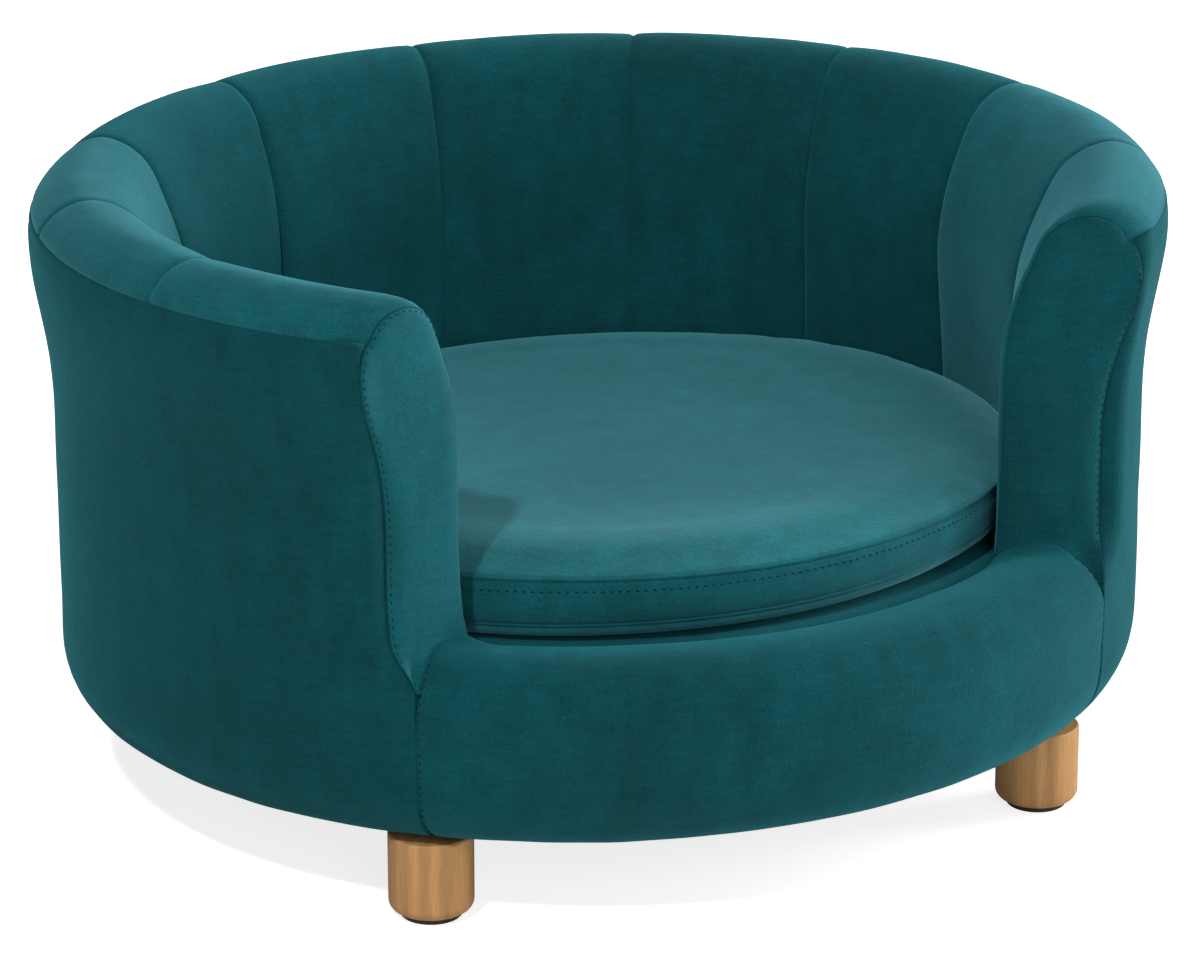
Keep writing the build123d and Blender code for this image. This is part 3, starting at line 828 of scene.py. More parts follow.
class SOFA_OT_channels(bpy.types.Operator):
    """Sew the ten upright channel pads of the wall"""

    bl_idname = "sofa.channels"
    bl_label = "Channel pads"

    def execute(self, context):
        for number in range(1, 11):
            if number in (1, 10):
                loops = channel_pad(number, FIRST_SEAM, FACE_ANGLE)
                loops = mirrored(loops) if number == 1 else loops
            else:
                loops = channel_pad(number, SEAMS[number - 2], SEAMS[number - 1])
            # Painted light: the pads nearest the arms take the lighter copy of the velvet, the middle pads the
            # plain one
            sheen_and_painted_light = "painted_light_velvet" if number in (1, 2, 3, 9, 10) else "velvet"
            skin = skin_of(loops)
            upholster(f"channel_pad_{number}", skin, sheen_and_painted_light, "sofa", f"channel_{number}")
        return {"FINISHED"}


class SOFA_OT_outer_wrap(bpy.types.Operator):
    """Stretch the outer cover round the sides and back and under the bottom edge"""

    bl_idname = "sofa.outer_wrap"
    bl_label = "Outer wrap"

    def execute(self, context):
        section = outer_section()
        count = len(section)
        along = run_length(section)
        corner = 1 - np.linspace(1, 0, 17)[:-1] ** 1.5
        round_by = [[arm_edge(r, z, share) for share in (*corner, 1.0)] for r, z in section]
        turns = np.array([row[0][1] for row in round_by])
        ends = np.array([[point for point, _ in row] for row in round_by]).transpose(1, 0, 2)
        middle = np.linspace(-1, 1, 201)[1:-1]
        columns = [mirrored(ends[-1 - i]) for i in range(len(ends))]
        climb = smooth_step((section[:, 1] - 290) / 65)
        for share in middle:
            height = section[:, 1] + climb * (crest(turns[0] * share) - RIM_SEAM_DROP - COVER_LINE[0][1])
            columns.append(on_plan(section[:, 0], turns * share, height) / MM - (0, PLAN_SHIFT, 0))
        columns.extend(ends)
        grid = (np.array(columns) + (0, PLAN_SHIFT, 0)) * MM
        normal = grid_normals(grid)
        run = run_length(grid[:, 40]) / MM
        near = np.minimum(run, run[-1] - run)
        seam = -0.9 * np.exp(-((along / 1.6) ** 2))
        fold = 0.5 * np.exp(-(((along - 3.6) / 2.0) ** 2)) - 0.7 * np.exp(-(((along - 7.6) / 1.3) ** 2))
        fold += 0.3 * np.exp(-(((along - 10.5) / 2.5) ** 2))
        push = (seam + fold)[None, :] + np.zeros((len(grid), 1))
        push[1:-1] += -0.9 * np.exp(-((near[1:-1, None] / 1.6) ** 2))
        for i in range(1, len(grid) - 1):
            side = 31 if i < len(grid) / 2 else 32
            rim_tuck = gathers(run[i], 40, 13.0) * 0.35
            hold = min(1.0, near[i] / 12)
            side_tucks = tucks(along, side, 9.0, near[i], 12)
            for j in range(1, count - 2):
                loose = slack(grid[i, j], 90, 32, 20) * sizes().slackness * 1.1
                push[i, j] += side_tucks[j] + rim_tuck * math.exp(-along[j] / 14) + loose * hold * min(1.0, j / 6)
        grid = grid + normal * push[:, :, None] * MM
        back = np.array(WRAP_BACK + [
            (SKIN_R, SKIN_TOP), (328.0, RAIL_TOP - 12.3), (RAIL_OUT_R + 0.3, RAIL_TOP - 12.3),
            (RAIL_OUT_R + 0.3, RAIL_TOP)])
        last = np.minimum(face_angle(back[:, 0], 8.0), FRONT_SEAM)
        tails = np.linspace(0.97, 1, len(ends))
        shares = np.concatenate([-tails[::-1], middle * 0.965, tails])
        hidden = np.array([on_plan(back[:, 0], last * share, back[:, 1]) for share in shares])
        skin = skin_of(np.concatenate([grid, hidden], axis=1))
        # The outer wrap takes the darker copy of the velvet: painted shade
        upholster("outer_wrap_cover", skin, "painted_shade_velvet", "sofa", "outer_wrap")
        return {"FINISHED"}


class SOFA_OT_apron(bpy.types.Operator):
    """Pad the low apron across the front, and sew its two upright seams"""

    bl_idname = "sofa.apron"
    bl_label = "Front apron"

    def execute(self, context):
        shares = np.unique(np.round(np.concatenate([
            spread(40)[:20] * 0.3, np.linspace(0.15, 0.85, 64), 1 - spread(40)[19::-1] * 0.3]), 6))
        section = apron_section()
        back = np.array(WRAP_BACK + [(SKIN_R, 148.3), (280.5, 148.3), (280.5, SEAT_TOP)])
        width = math.radians(2 * (180 - FRONT_SEAM)) * 320

        def turn(share, rows):
            return FRONT_SEAM + 2 * (180 - FRONT_SEAM) * share + 0 * rows[:, 0]

        def push(share, rows):
            along = run_length(rows)
            near = min(share, 1 - share) * width
            side = 0 if share < 0.5 else 1
            low = smooth_step((along - 48) / 14)
            end = -1.1 * math.exp(-((near / 1.7) ** 2)) * low
            return end + tucks(along, 50 + side, 8.0, near, 14) * low

        loops = wall_grid(shares, lambda share: section, turn, push, back)
        visible = loops.shape[1] - len(back)
        loops = crumple(loops, visible, shares, sizes().slackness, 60, width)
        along = run_length(section)
        crowned = np.exp(-(((along - 34) / 24) ** 2))
        reach = sizes().fillet_height * MM
        for i in range(len(loops)):
            for j in range(visible):
                x, y, _ = loops[i, j]
                ahead = -((y - PLAN_SHIFT * MM) + ARM_Y * MM + (abs(x) - ARM_X * MM) * ARM_SKEW) * ARM_COS
                climb = max(0.0, 1 - max(ahead, 0.0) / 0.019) ** 2.2
                loops[i, j, 2] += reach * climb * crowned[j]
        upholster("apron_pad", skin_of(loops), "velvet", "sofa", "apron_cover")

        used = (along > 56) & (section[:, 1] > 56)
        rows = section[used]
        out = outward(section)[used]
        for name, side in (("left", -1), ("right", 1)):
            offset = 180 - FRONT_SEAM - math.degrees(1.4 / 320)
            angle = np.full(len(rows), 180 - side * offset)
            path = on_plan(rows[:, 0] - 0.4, angle, rows[:, 1])
            away = on_plan(rows[:, 0] + out[:, 0], angle, rows[:, 1] + out[:, 1]) - path
            sew(f"apron_stitches_{name}", path, away, "sofa")
        return {"FINISHED"}


def arm_loop(drawn):
    """Outline of an arm's face in mm: up the inner edge, over the top, down the seam and back along the foot."""
    inner = rounded_end(wall_section(FACE_ANGLE, 0.0), 1.0)
    inner = inner - outward(inner) * sizes().seam_depth
    inner = inner[inner[:, 1] > 158]
    setback = 1.5 + face_setback(inner[:, 0], inner[:, 1], drawn)
    points = list(on_plan(inner[:, 0], face_angle(inner[:, 0], setback), inner[:, 1]) / MM - (0, PLAN_SHIFT, 0))
    for r, z in outer_section()[1:]:
        if z > 142:
            points.append(arm_edge(r, z, 1.0)[0])
    top = apron_section()
    top = top[:np.argmin(abs(top[:, 1] - 139)) + 1]
    first, last = points[0], points[-1]
    for share in np.linspace(0, 1, 26)[1:-1]:
        point = last * (1 - share) + first * share
        ring = math.hypot(point[0], point[1] / DEPTH_SHARE)
        point[2] = float(np.interp(ring, top[4:, 0], top[4:, 1])) - 5.5
        points.append(point)
    loop = np.array(points)
    loop = np.concatenate([loop, loop[:1]])
    run = run_length(loop)
    even = np.linspace(0, run[-1], int(run[-1] / FACE_STEP))[:-1]
    return np.stack([np.interp(even, run, loop[:, axis]) for axis in range(3)], axis=1)


def edge_distance(spots, loop):
    """Distance in the plane from each spot to a closed outline."""
    step = np.roll(loop, -1, axis=0) - loop
    offset = spots[:, None] - loop
    share = np.clip((offset * step).sum(axis=2) / (step ** 2).sum(axis=1), 0, 1)
    gap = offset - step * share[:, :, None]
    return np.hypot(gap[:, :, 0], gap[:, :, 1]).min(axis=1)


def within(spots, loop):
    """Which spots of the plane lie inside a closed outline."""
    inside = np.zeros(len(spots), dtype=bool)
    for (ax, ay), (bx, by) in zip(loop, np.roll(loop, -1, axis=0)):
        crossed = (ay > spots[:, 1]) != (by > spots[:, 1])
        with np.errstate(divide="ignore", invalid="ignore"):
            cut = ax + (spots[:, 1] - ay) / (by - ay) * (bx - ax)
        inside ^= crossed & (spots[:, 0] < cut)
    return inside


class SOFA_OT_arm_faces(bpy.types.Operator):
    """Close both arms with a padded panel, topstitched inside its edge"""

    bl_idname = "sofa.arm_faces"
    bl_label = "Arm faces"

    def execute(self, context):
        for name, side in (("right", 1), ("left", -1)):
            self.face(name, np.array([side, 1, 1]), arm_loop(FACE_DRAWN[name]))
        return {"FINISHED"}

    def face(self, name, hand, loop):
        """One padded face, made as the right one and mirrored for the left."""
        origin = np.array([ARM_X, -ARM_Y, 0.0])
        flat = np.stack([(loop - origin) @ FACE_ALONG, loop[:, 2]], axis=1)
        count = len(flat)
        step = np.roll(flat, -1, axis=0) - np.roll(flat, 1, axis=0)
        inward = np.stack([step[:, 1], -step[:, 0]], axis=1)
        inward /= np.linalg.norm(inward, axis=1, keepdims=True)
        if not within(flat[count // 4][None] + inward[count // 4][None] * 3, flat)[0]:
            inward = -inward
        spots = [flat]
        row_of = {}
        for inset in (0.7, 1.5, 2.5, 3.6, 4.8, 5.5, 6.0, 6.5, 7.3, 8.8, 11.0):
            ring = flat + inward * inset
            keep = within(ring, flat) & (edge_distance(ring, flat) > inset - 0.12)
            row_of[inset] = ring[keep]
            spots.append(ring[keep])
        low, high = flat.min(axis=0), flat.max(axis=0)
        lattice = np.array([
            (s + (2.0 if row % 2 else 0.0), z)
            for row, z in enumerate(np.arange(low[1], high[1], 3.5)) for s in np.arange(low[0], high[0], 4.0)])
        lattice = lattice[within(lattice, flat)]
        lattice = lattice[edge_distance(lattice, flat) > 13.0]
        spots = np.concatenate(spots + [lattice])
        edges = [(i, (i + 1) % count) for i in range(count)]
        made = delaunay_2d_cdt([Vector(spot) for spot in spots], edges, [], 1, 1e-5)
        spots = np.array([tuple(vertex) for vertex in made[0]])
        faces = [tuple(face) for face in made[2]]
        lift = self.lift(spots, flat, faces)
        if name == "right":
            reach = np.hypot(spots[:, 0] - 78, spots[:, 1] - 322)
            turn = np.arctan2(spots[:, 1] - 322, spots[:, 0] - 78)
            puckers = np.sin(turn * 11) * np.exp(-(((reach - 11) / 7) ** 2))
            lift = lift + puckers * (edge_distance(spots, flat) > 0.5)
        offset = spots[:, None, :] - flat[None, :, :]
        gap = np.hypot(offset[:, :, 0], offset[:, :, 1])
        pull = 1 / (gap ** 2 + 3.0) ** 1.5
        edge_ahead = pull @ ((loop - origin) @ FACE_AHEAD + 1.5) / pull.sum(axis=1)
        ahead = edge_ahead * np.clip(1 - gap.min(axis=1) / 17, 0, 1) ** 2
        place = origin + FACE_ALONG * spots[:, :1] + np.stack([0 * ahead, 0 * ahead, spots[:, 1]], axis=1)
        place = place + FACE_AHEAD * (ahead + lift)[:, None]
        on_edge = {}
        for index, spot in enumerate(spots):
            gap = np.hypot(*(flat - spot).T)
            nearest = int(gap.argmin())
            if gap[nearest] < 0.02:
                place[index] = loop[nearest]
                on_edge[nearest] = index
        points = list(place)
        first = len(points)
        points.extend(loop - FACE_AHEAD * FACE_THICK)
        ring = [on_edge[i] for i in range(count)]
        for i in range(count):
            j = (i + 1) % count
            faces.append((ring[i], ring[j], first + j, first + i))
        closing = delaunay_2d_cdt([Vector(spot) for spot in flat], edges, [], 1, 1e-5)
        faces.extend(tuple(first + corner for corner in face) for face in closing[2])
        points = (np.array(points) + (0, PLAN_SHIFT, 0)) * MM
        stitched = row_of[1.5]
        outside = (stitched[:, 0] > 38) & (stitched[:, 1] > 148) & (stitched[:, 1] < 350)
        over_top = (stitched[:, 1] > 345) & (stitched[:, 0] > 8) & (name == "left")
        nearest = [int(np.hypot(*(spots - spot).T).argmin()) for spot in stitched[outside | over_top]]
        row = points[nearest]
        # Painted light: the left face takes the lighter copy of the velvet, the right face the plain one
        sheen_and_painted_light = "painted_light_velvet" if name == "left" else "velvet"
        upholster(f"arm_pad_{name}", (points * hand, faces), sheen_and_painted_light, "sofa", f"arm_face_{name}")
        away = np.tile(FACE_AHEAD * hand, (len(row), 1))
        sew(f"arm_stitches_{name}", row * hand, away, "sofa")
        path = (loop[loop[:, 2] > 150] + FACE_AHEAD * 0.5 + (0, PLAN_SHIFT, 0)) * MM * hand
        out = np.tile(FACE_AHEAD * hand, (len(path), 1))
        skin = skin_of(tube(path, np.gradient(path, axis=0), out, SEAM_LINE_R, 6))
        # The seam line takes the darker copy of the velvet: painted shade
        trimming(f"arm_seam_{name}", skin, "painted_shade_velvet", "sofa")

    def lift(self, spots, flat, faces):
        """Height of the padded face over its plane, eased in the middle."""
        inset = edge_distance(spots, flat)
        rounded = 2.9 * np.sqrt(np.clip(1 - (1 - np.minimum(inset / 4.2, 1)) ** 2, 0, 1)) - 1.5
        plump = sizes().face_puff * (1 - np.exp(-np.maximum(inset - 3, 0) / 11))
        dip = -0.3 * np.exp(-(((inset - 1.6) / 0.8) ** 2))
        tuck, soft = (
            np.array([noise.noise(Vector((s / size, z / size, sizes().seed + place))) for s, z in spots])
            for size, place in ((9, 0.4), (34, 2.4)))
        lift = rounded + plump + tuck * 0.45 * np.exp(-inset / 7) * (inset > 0.1)
        lift += soft * 0.6 * np.minimum(inset / 12, 1)
        ends = np.array([(a, b) for face in faces for a, b in zip(face, face[1:] + face[:1])])
        free = inset > 9.0
        for _ in range(30):
            total = np.zeros(len(spots))
            share = np.zeros(len(spots))
            np.add.at(total, ends[:, 0], lift[ends[:, 1]])
            np.add.at(share, ends[:, 0], 1)
            lift = np.where(free, lift / 2 + total / np.maximum(share, 1) / 2, lift)
        return lift + dip


def evened(values, times):
    """Values round a ring, each drawn towards its neighbours."""
    for _ in range(times):
        values = values / 2 + (np.roll(values, 1, axis=0) + np.roll(values, -1, axis=0)) / 4
    return values


def cushion_shape():
    """All of the cushion's cover as rings of points, with the counts of top and boxing rings."""
    top, boxing, base = cushion_section()
    angles = np.arange(CUSHION_SECTORS) * 360 / CUSHION_SECTORS
    turns = (0, 35, 60, 90, 125, 150, 180, 210, 250, 300, 330, 360)
    climb = np.interp(angles, turns, (1.0, 3.0, 6.5, 7.0, 7.0, 7.5, 6.5, 7.0, 5.0, 2.5, 1.5, 1.0))
    reach = np.interp(angles, turns, (0.0, 1.0, 2.8, 1.5, 0.0, 0.0, 0.0, 0.0, 0.0, 0.0, 0.0, 0.0))
    climb, reach = evened(climb, 12), evened(reach, 12)
    low_climb = climb * np.interp(angles, turns, (0.4, 0.5, 0.8, 1.0, 1.0, 1.0, 0.7, 0.4, 0.35, 0.4, 0.4, 0.4))
    rings = []
    for number, (r, z) in enumerate(np.concatenate([top, boxing[1:], base[1:]])):
        share = smooth_step((r - 100) / 150)
        down = min(max((number - len(top) + 1) / (len(boxing) - 1), 0.0), 1.0)
        rings.append(on_plan(r + reach * share, angles, z + (climb * (1 - down) + low_climb * down) * share))
    return np.array(rings), len(top), len(boxing)


def filled_cushion(rings, top_count, boxing_count):
    """The cover blown out by its foam: a cloth run with its seams and base held, then calmed along its rings."""
    count = rings.shape[1]
    points, faces = closed_rings(rings)
    cover = add_mesh("cushion_trial", points, faces, finish_of("velvet"))
    held = cover.vertex_groups.new(name="seams")
    top_seam = 1 + (top_count - 2) * count
    base = 1 + (top_count + boxing_count - 3) * count
    held.add([*range(top_seam, top_seam + count), *range(base, len(points))], 1.0, "REPLACE")
    cloth = cover.modifiers.new("filling", "CLOTH")
    for name, value in (
            ("vertex_group_mass", "seams"), ("quality", 6), ("mass", 0.25), ("tension_stiffness", 12),
            ("compression_stiffness", 12), ("shear_stiffness", 4), ("bending_stiffness", 0.35),
            ("shrink_min", -0.018), ("use_pressure", True), ("uniform_pressure_force", 2.2)):
        setattr(cloth.settings, name, value)
    cloth.settings.effector_weights.gravity = 0
    cloth.collision_settings.use_collision = False
    cloth.collision_settings.use_self_collision = False
    scene = bpy.context.scene
    for number in range(1, 21):
        scene.frame_set(number)
        bpy.context.view_layer.update()
    settled = cover.evaluated_get(bpy.context.evaluated_depsgraph_get())
    moved = np.array([tuple(vertex.co) for vertex in settled.data.vertices])
    scene.frame_set(1)
    bpy.data.objects.remove(cover)
    step = moved - np.array(points)
    length = np.linalg.norm(step, axis=1)
    most = sizes().cushion_swell * MM
    step *= (np.minimum(length, most) / np.maximum(length, 1e-9))[:, None]
    turn = np.arange(count) * 360 / count
    folded = (0.45 * np.exp(-(((turn - 62) / 17) ** 2)))[:, None]
    filled = rings.copy()
    filled[0] += step[0]
    for ring in range(1, len(rings) - 1):
        own = step[1 + (ring - 1) * count:1 + ring * count]
        filled[ring] += evened(own, 60) * (1 - folded) + own * folded
    filled[-1] += step[-1]
    return filled


def shell(rings, thick):
    """The inner face of a panel, set in from the rings of its outer face."""
    normal = np.cross(np.gradient(rings, axis=0), np.roll(rings, -1, axis=1) - np.roll(rings, 1, axis=1))
    normal[0] = normal[1].mean(axis=0)
    normal /= np.maximum(np.linalg.norm(normal, axis=2, keepdims=True), 1e-12)
    return rings - normal * thick


class SOFA_OT_cushion(bpy.types.Operator):
    """Fill the loose cushion and cut its cover into top, boxing and base"""

    bl_idname = "sofa.cushion"
    bl_label = "Cushion"

    def execute(self, context):
        plain, top_count, boxing_count = cushion_shape()
        rings = plain
        rings = filled_cushion(plain, top_count, boxing_count)
        top_seam, low_seam = top_count - 1, top_count + boxing_count - 2
        radial = plain[top_seam] - np.array([0, PLAN_SHIFT * MM, 0])
        radial[:, 2] = 0
        radial /= np.linalg.norm(radial, axis=1, keepdims=True)
        lengths = run_length(plain[:, 0]) / MM
        edge_run = run_length(np.concatenate([plain[top_seam], plain[top_seam][:1]])) / MM
        dressed = rings.copy()
        for ring in range(1, len(rings) - 1):
            on_top = ring < top_seam
            gap_top = abs(lengths[ring] - lengths[top_seam])
            for j in range(rings.shape[1]):
                point = rings[ring, j]
                lift = gathers(edge_run[j], 81, 16.0) * 0.7 * math.exp(-gap_top / 20)
                lift += gathers(edge_run[j], 83, 8.0) * 0.35 * math.exp(-gap_top / 9)
                lift *= 1 - math.exp(-gap_top / 3)
                if on_top:
                    loose = wave(point, 150, 85) * 1.3 + wave(point, 60, 86) * 0.45
                    lift += loose * min(1.0, gap_top / 30)
                elif lengths[ring] < lengths[low_seam] - 1:
                    lift += gathers(edge_run[j], 88, 26.0) * 0.5 * math.sin(math.pi * min(1.0, gap_top / 24))
                dressed[ring, j] = point + (np.array([0, 0, 1]) if on_top else radial[j]) * lift * MM
        self.panel("cushion_top_panel", dressed[:top_count], "cushion_top")
        self.band("cushion_boxing_band", dressed[top_seam:low_seam + 1], "cushion_boxing")
        self.panel("cushion_base_panel", dressed[low_seam:][::-1], "cushion_base")
        core = plain * np.array([0.985, 0.985, 1.0])
        core[:, :, 1] += PLAN_SHIFT * MM * 0.015
        middle = (CUSHION_BOTTOM + CUSHION_TOP) / 2 * MM
        core[:, :, 2] = middle + (core[:, :, 2] - middle) * 0.90
        upholster("cushion_foam", closed_rings(core), "foam", "cushion", "cushion_core")
        self.seams(dressed, (("top", top_seam), ("low", low_seam)), radial)
        return {"FINISHED"}

    def panel(self, name, outer, node):
        """A round panel, closed by an inner face."""
        inner = shell(outer, PANEL_THICK)
        if (inner[1, 0, 2] > outer[1, 0, 2]) == (node == "cushion_top"):
            inner = outer * 2 - inner
        inner_points, inner_faces = ring_skin(inner)
        points, faces = joined([ring_skin(outer), (inner_points, [face[::-1] for face in inner_faces])])
        start = len(inner_points)
        count = outer.shape[1]
        rim = start - count
        for j in range(count):
            k = (j + 1) % count
            faces.append((rim + j, start + rim + j, start + rim + k, rim + k))
        # The top and base panels take the cushion's lighter copy of the velvet: painted light
        upholster(name, (points, faces), "cushion_painted_light_velvet", "cushion", node)

    def band(self, name, rings, node):
        """The upright band round the cushion, closed by an inner face."""
        inward = np.array([0, PLAN_SHIFT * MM, 0]) - rings
        inward[:, :, 2] = 0
        inward /= np.linalg.norm(inward, axis=2, keepdims=True)
        inner = rings + inward * PANEL_THICK
        skin = ring_round(np.concatenate([rings, inner[::-1]]))
        # The boxing takes the lighter copy of the velvet: painted light
        upholster(name, skin, "painted_light_velvet", "cushion", node)

    def seams(self, rings, seams, radial):
        """A fine raised seam round the top and bottom edges, and a stitch row below the top one."""
        for name, ring in seams:
            path = rings[ring]
            run = np.roll(path, -1, axis=0) - np.roll(path, 1, axis=0)
            skin = ring_round(tube(path, run, radial, BEAD_R, 8))
            # The seam beads take the lighter copy of the velvet: painted light
            trimming(f"cushion_seam_{name}", skin, "painted_light_velvet", "cushion")
        (_, top_seam), (_, low_seam) = seams
        ring = top_seam + int(round(0.29 * (low_seam - top_seam)))
        away = np.concatenate([radial, radial[:1]])
        path = np.concatenate([rings[ring], rings[ring][:1]]) + away * 0.1 * MM
        sew("cushion_stitches", path, away, "cushion")


class SOFA_OT_zip(bpy.types.Operator):
    """Set the zip's tapes and teeth in the back of the cushion's boxing"""

    bl_idname = "sofa.zip"
    bl_label = "Cushion zip"

    def execute(self, context):
        back_y = CUSHION_R * DEPTH_SHARE
        arc_r = CUSHION_R * CUSHION_R / back_y
        centre_y = back_y - arc_r + PLAN_SHIFT
        middle = (LOW_SEAM_Z + TOP_SEAM_Z) / 2
        turns = np.radians(np.linspace(-22, 22, 120))

        def arc(r, z):
            return np.stack([r * np.sin(turns), centre_y + r * np.cos(turns), np.full(len(turns), z)], axis=1) * MM

        for name, low, high in (("lower", middle - 6, middle - 0.9), ("upper", middle + 0.9, middle + 6)):
            heights = np.linspace(low, high, 8)
            rows = [arc(arc_r - 0.3 + 0.075 * math.cos((z - (low + high) / 2) * 2.2), z) for z in heights]
            rows += [arc(arc_r - 1.5, z) for z in heights[::-1]]
            skin = skin_of(np.array(rows).transpose(1, 0, 2))
            node = f"zip_tape_{name}"
            upholster(f"{node}_weave", skin, "zip_tape", "cushion", node)
        teeth = []
        for count, turn in enumerate(np.arange(-21.5, 21.5, 0.28)):
            side = 1 if count % 2 else -1
            angle = math.radians(turn)
            out = np.array([math.sin(angle), math.cos(angle), 0])
            run = np.array([math.cos(angle), -math.sin(angle), 0])
            base = np.array([0, centre_y, middle]) + out * (arc_r - 0.8)
            teeth.append(skin_of(np.array([
                [(base + (0, 0, -side * low) + run * a * wide + out * b * deep) * MM
                 for a, b in ((-1, -1), (1, -1), (1, 1), (-1, 1))]
                for low, wide, deep in ((-0.5, 0.45, 0.45), (0.3, 0.5, 0.5), (1.1, 0.3, 0.35))])))
        trimming("zip_teeth", joined(teeth), "zip_metal", "cushion")
        return {"FINISHED"}


class SOFA_OT_deck(bpy.types.Operator):
    """Lay the deck pad and stretch the lining under the base"""

    bl_idname = "sofa.deck"
    bl_label = "Deck pad and lining"

    def execute(self, context):
        edge = FOOT_R - 0.3
        top, foot = DECK_TOP, SEAT_TOP - 0.3
        line = [(0, top - 0.4), (60, top - 0.5), (120, top - 0.5), (180, top - 0.4), (225, top - 0.2), (250, top),
                (260, top - 0.2), (264.5, top - 1.4), (edge, top - 4.2), (edge, SEAT_TOP + 3),
                (265, SEAT_TOP - 0.2), (200, foot), (0, foot)]
        skin = self.disc(line, lambda ring, point: 0.3 * wave(point, 60, 91))
        upholster("deck_foam", skin, "velvet", "sofa", "deck_pad")
        edge = TURN_R - 0.3
        low = BASE_BOTTOM - 1.2
        line = [(0, low), (60, low), (120, low), (180, low), (230, low), (edge - 6, low), (edge - 1, low + 0.1),
                (edge, low + 0.6), (edge, BASE_BOTTOM - 0.1), (edge - 6, BASE_BOTTOM), (0, BASE_BOTTOM)]
        skin = self.disc(line, lambda ring, point: -(0.2 + 0.2 * wave(point, 90, 92)) * (1 if ring < 5 else 0.3))
        upholster("underside_lining", skin, "lining", "sofa", "dust_cover")
        return {"FINISHED"}

    def disc(self, line, lift):
        """Skin of a round pad from half of its cut, its face moved by soft waves."""
        angles = np.arange(DISC_SECTORS) * 360 / DISC_SECTORS
        rings = np.array([on_plan(float(r), angles, float(z)) for r, z in line])
        for ring in range(1, 6):
            for point in rings[ring]:
                point[2] += lift(ring, point) * MM
        return closed_rings(rings)


class SOFA_OT_frame_finishes(bpy.types.Operator):
    """Give the legs, boards, rails, skins and fittings their wood, metal and plastic"""

    bl_idname = "sofa.frame_finishes"
    bl_label = "Legs and frame finishes"

    def execute(self, context):
        finishes = (
            ("leg_nut", "zinc_steel"), ("leg_", "pine"), ("glide_", "glide_plastic"), ("stud_", "zinc_steel"),
            ("base_board", "plywood"), ("seat_board", "plywood"), ("seat_post", "pine"), ("rib_", "plywood"),
            ("arm_board", "plywood"), ("top_rail", "plywood"), ("apron_rail", "plywood"),
            ("well_skin", "hardboard"), ("outer_skin", "hardboard"), ("zip_slider", "zip_metal"),
        )
        for name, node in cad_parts.items():
            for start, finish in finishes:
                if name.startswith(start):
                    for material_slot in node.material_slots:
                        material_slot.link = "OBJECT"
                        material_slot.material = finish_of(finish)
                    break
        return {"FINISHED"}


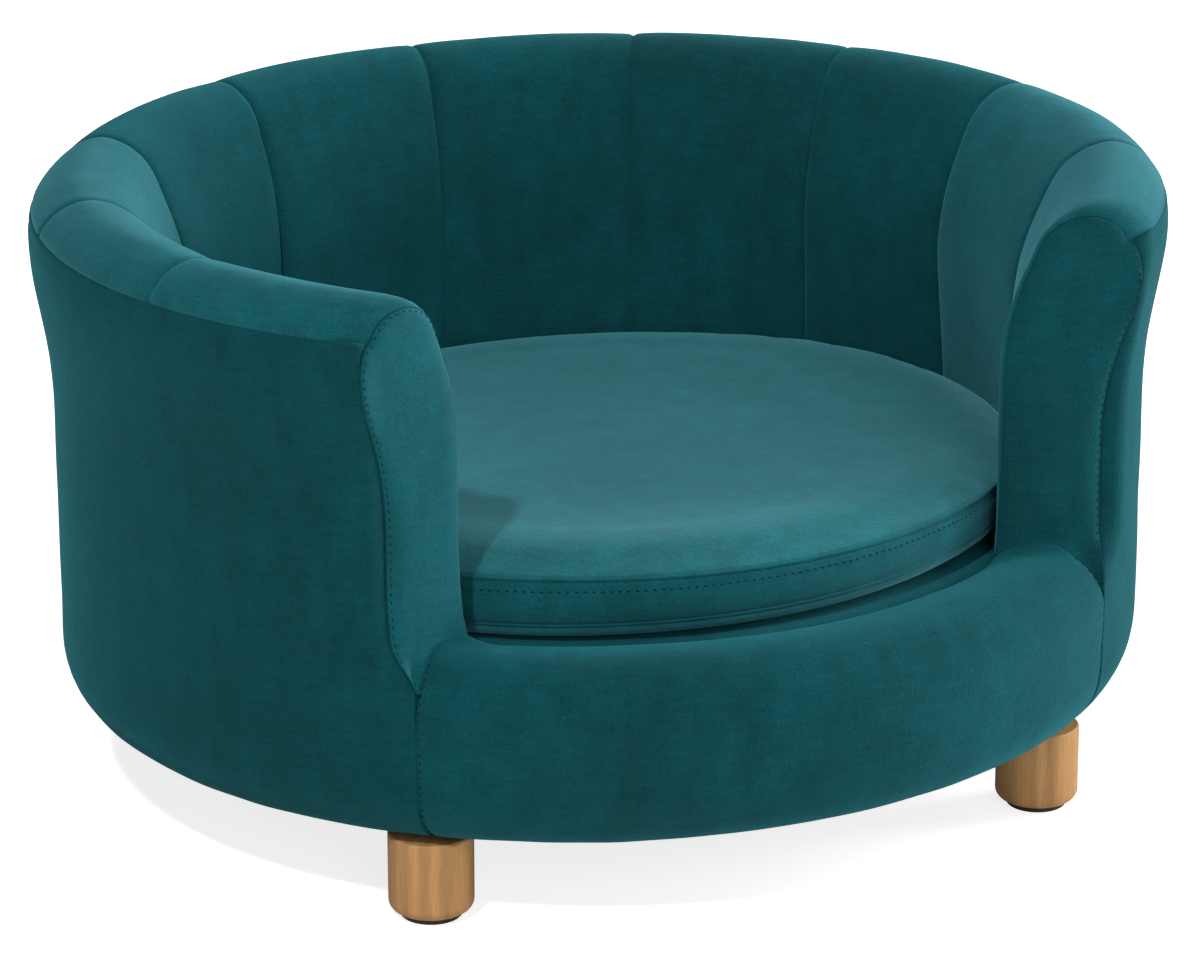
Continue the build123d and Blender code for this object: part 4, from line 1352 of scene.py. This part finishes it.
class SOFA_OT_stage(bpy.types.Operator):
    """Set the floor, the soft studio light and the camera"""

    bl_idname = "sofa.stage"
    bl_label = "Studio"

    def execute(self, context):
        scene = context.scene
        scene.view_settings.view_transform = "Standard"
        self.floor()
        self.sky(scene)
        for lamp in LAMPS:
            self.lamp(*lamp)
        camera = bpy.data.cameras.new("studio_camera")
        camera.lens = 160.49
        camera.sensor_width = 36
        camera.shift_x = -0.0014
        camera.shift_y = -0.03375
        camera.clip_start = 0.1
        scene.camera = self.aimed(camera, (-1.31539, -2.82671, 1.23983), (0.0, PLAN_SHIFT * MM, 0.2))
        return {"FINISHED"}

    def aimed(self, thing, place, target):
        """A lamp or camera set at a place and turned towards a target."""
        holder = bpy.data.objects.new(thing.name, thing)
        bpy.context.scene.collection.objects.link(holder)
        holder.location = place
        holder.rotation_euler = (Vector(target) - holder.location).to_track_quat("-Z", "Y").to_euler()
        return holder

    def floor(self):
        mesh = bpy.data.meshes.new("studio_floor")
        count = 24
        span = 12.0
        steps = range(count + 1)
        points = [((i / count - 0.5) * span, (j / count - 0.5) * span, 0.0) for i in steps for j in steps]
        row = count + 1
        faces = [(i * row + j, (i + 1) * row + j, (i + 1) * row + j + 1, i * row + j + 1)
                 for i in range(count) for j in range(count)]
        mesh.from_pydata(points, [], faces)
        finish, tree, _ = new_finish("studio_white")
        covered(finish, {"Base Color": (0.82, 0.82, 0.82, 1), "Roughness": 0.9})
        seen = add_node(tree, "LightPath", {}).outputs["Is Camera Ray"]
        lit = add_node(tree, "Math", {0: seen, 1: 0.8})
        lit.operation = "MULTIPLY"
        glow = add_node(tree, "Emission", {"Strength": lit.outputs[0]}).outputs[0]
        total = add_node(tree, "AddShader", {0: tree.nodes["Principled BSDF"].outputs[0], 1: glow})
        fill_inputs(tree, tree.nodes["Material Output"], {"Surface": total.outputs[0]})
        mesh.materials.append(finish)
        floor = bpy.data.objects.new("studio_floor", mesh)
        bpy.context.scene.collection.objects.link(floor)

    def sky(self, scene):
        """Faint white light all round, and plain white where the camera or a reflection sees it."""
        world = bpy.data.worlds.new("studio_sky")
        scene.world = world
        world.use_nodes = True
        tree = world.node_tree
        light = tree.nodes["Background"]
        fill_inputs(tree, light, {"Color": (1, 1, 1, 1), "Strength": 0.06})
        white = add_node(tree, "Background", {"Color": (1, 1, 1, 1), "Strength": 1.0})
        rays = add_node(tree, "LightPath", {}).outputs
        seen = add_node(tree, "Math", {0: rays["Is Camera Ray"], 1: rays["Is Glossy Ray"]})
        seen.operation = "MAXIMUM"
        mix = add_node(tree, "MixShader", {0: seen.outputs[0], 1: light.outputs[0], 2: white.outputs[0]})
        fill_inputs(tree, tree.nodes["World Output"], {"Surface": mix.outputs[0]})

    def lamp(self, name, place, size, power):
        light = bpy.data.lights.new(name, "AREA")
        light.shape = "DISK"
        light.size = size
        light.energy = power
        self.aimed(light, place, (0, 0, 0.2))


class SOFA_PT_panel(bpy.types.Panel):
    """Sizes, colours and pieces of the sofa"""

    bl_label = "Dog sofa"
    bl_idname = "SOFA_PT_panel"
    bl_space_type = "VIEW_3D"
    bl_region_type = "UI"
    bl_category = "Dog sofa"

    def draw(self, context):
        layout = self.layout
        for group in (context.scene.sofa_sizes, context.scene.sofa_colours):
            for name in group.__annotations__:
                layout.prop(group, name)
        for operator in OPERATORS:
            layout.operator(operator.bl_idname)


OPERATORS = (
    SOFA_OT_stage, SOFA_OT_channels, SOFA_OT_outer_wrap, SOFA_OT_apron, SOFA_OT_arm_faces,
    SOFA_OT_cushion, SOFA_OT_zip, SOFA_OT_deck, SOFA_OT_frame_finishes)
CLASSES = (SofaSizes, SofaColours, SOFA_PT_panel) + OPERATORS


def register():
    for item in CLASSES:
        bpy.utils.register_class(item)
    bpy.types.Scene.sofa_sizes = PointerProperty(type=SofaSizes)
    bpy.types.Scene.sofa_colours = PointerProperty(type=SofaColours)


def unregister():
    del bpy.types.Scene.sofa_colours
    del bpy.types.Scene.sofa_sizes
    for item in reversed(CLASSES):
        bpy.utils.unregister_class(item)


def main():
    register()
    bpy.ops.sofa.stage()
    bpy.ops.sofa.channels()
    bpy.ops.sofa.outer_wrap()
    bpy.ops.sofa.apron()
    bpy.ops.sofa.arm_faces()
    bpy.ops.sofa.cushion()
    bpy.ops.sofa.zip()
    bpy.ops.sofa.deck()
    bpy.ops.sofa.frame_finishes()


if __name__ == "__main__":
    main()
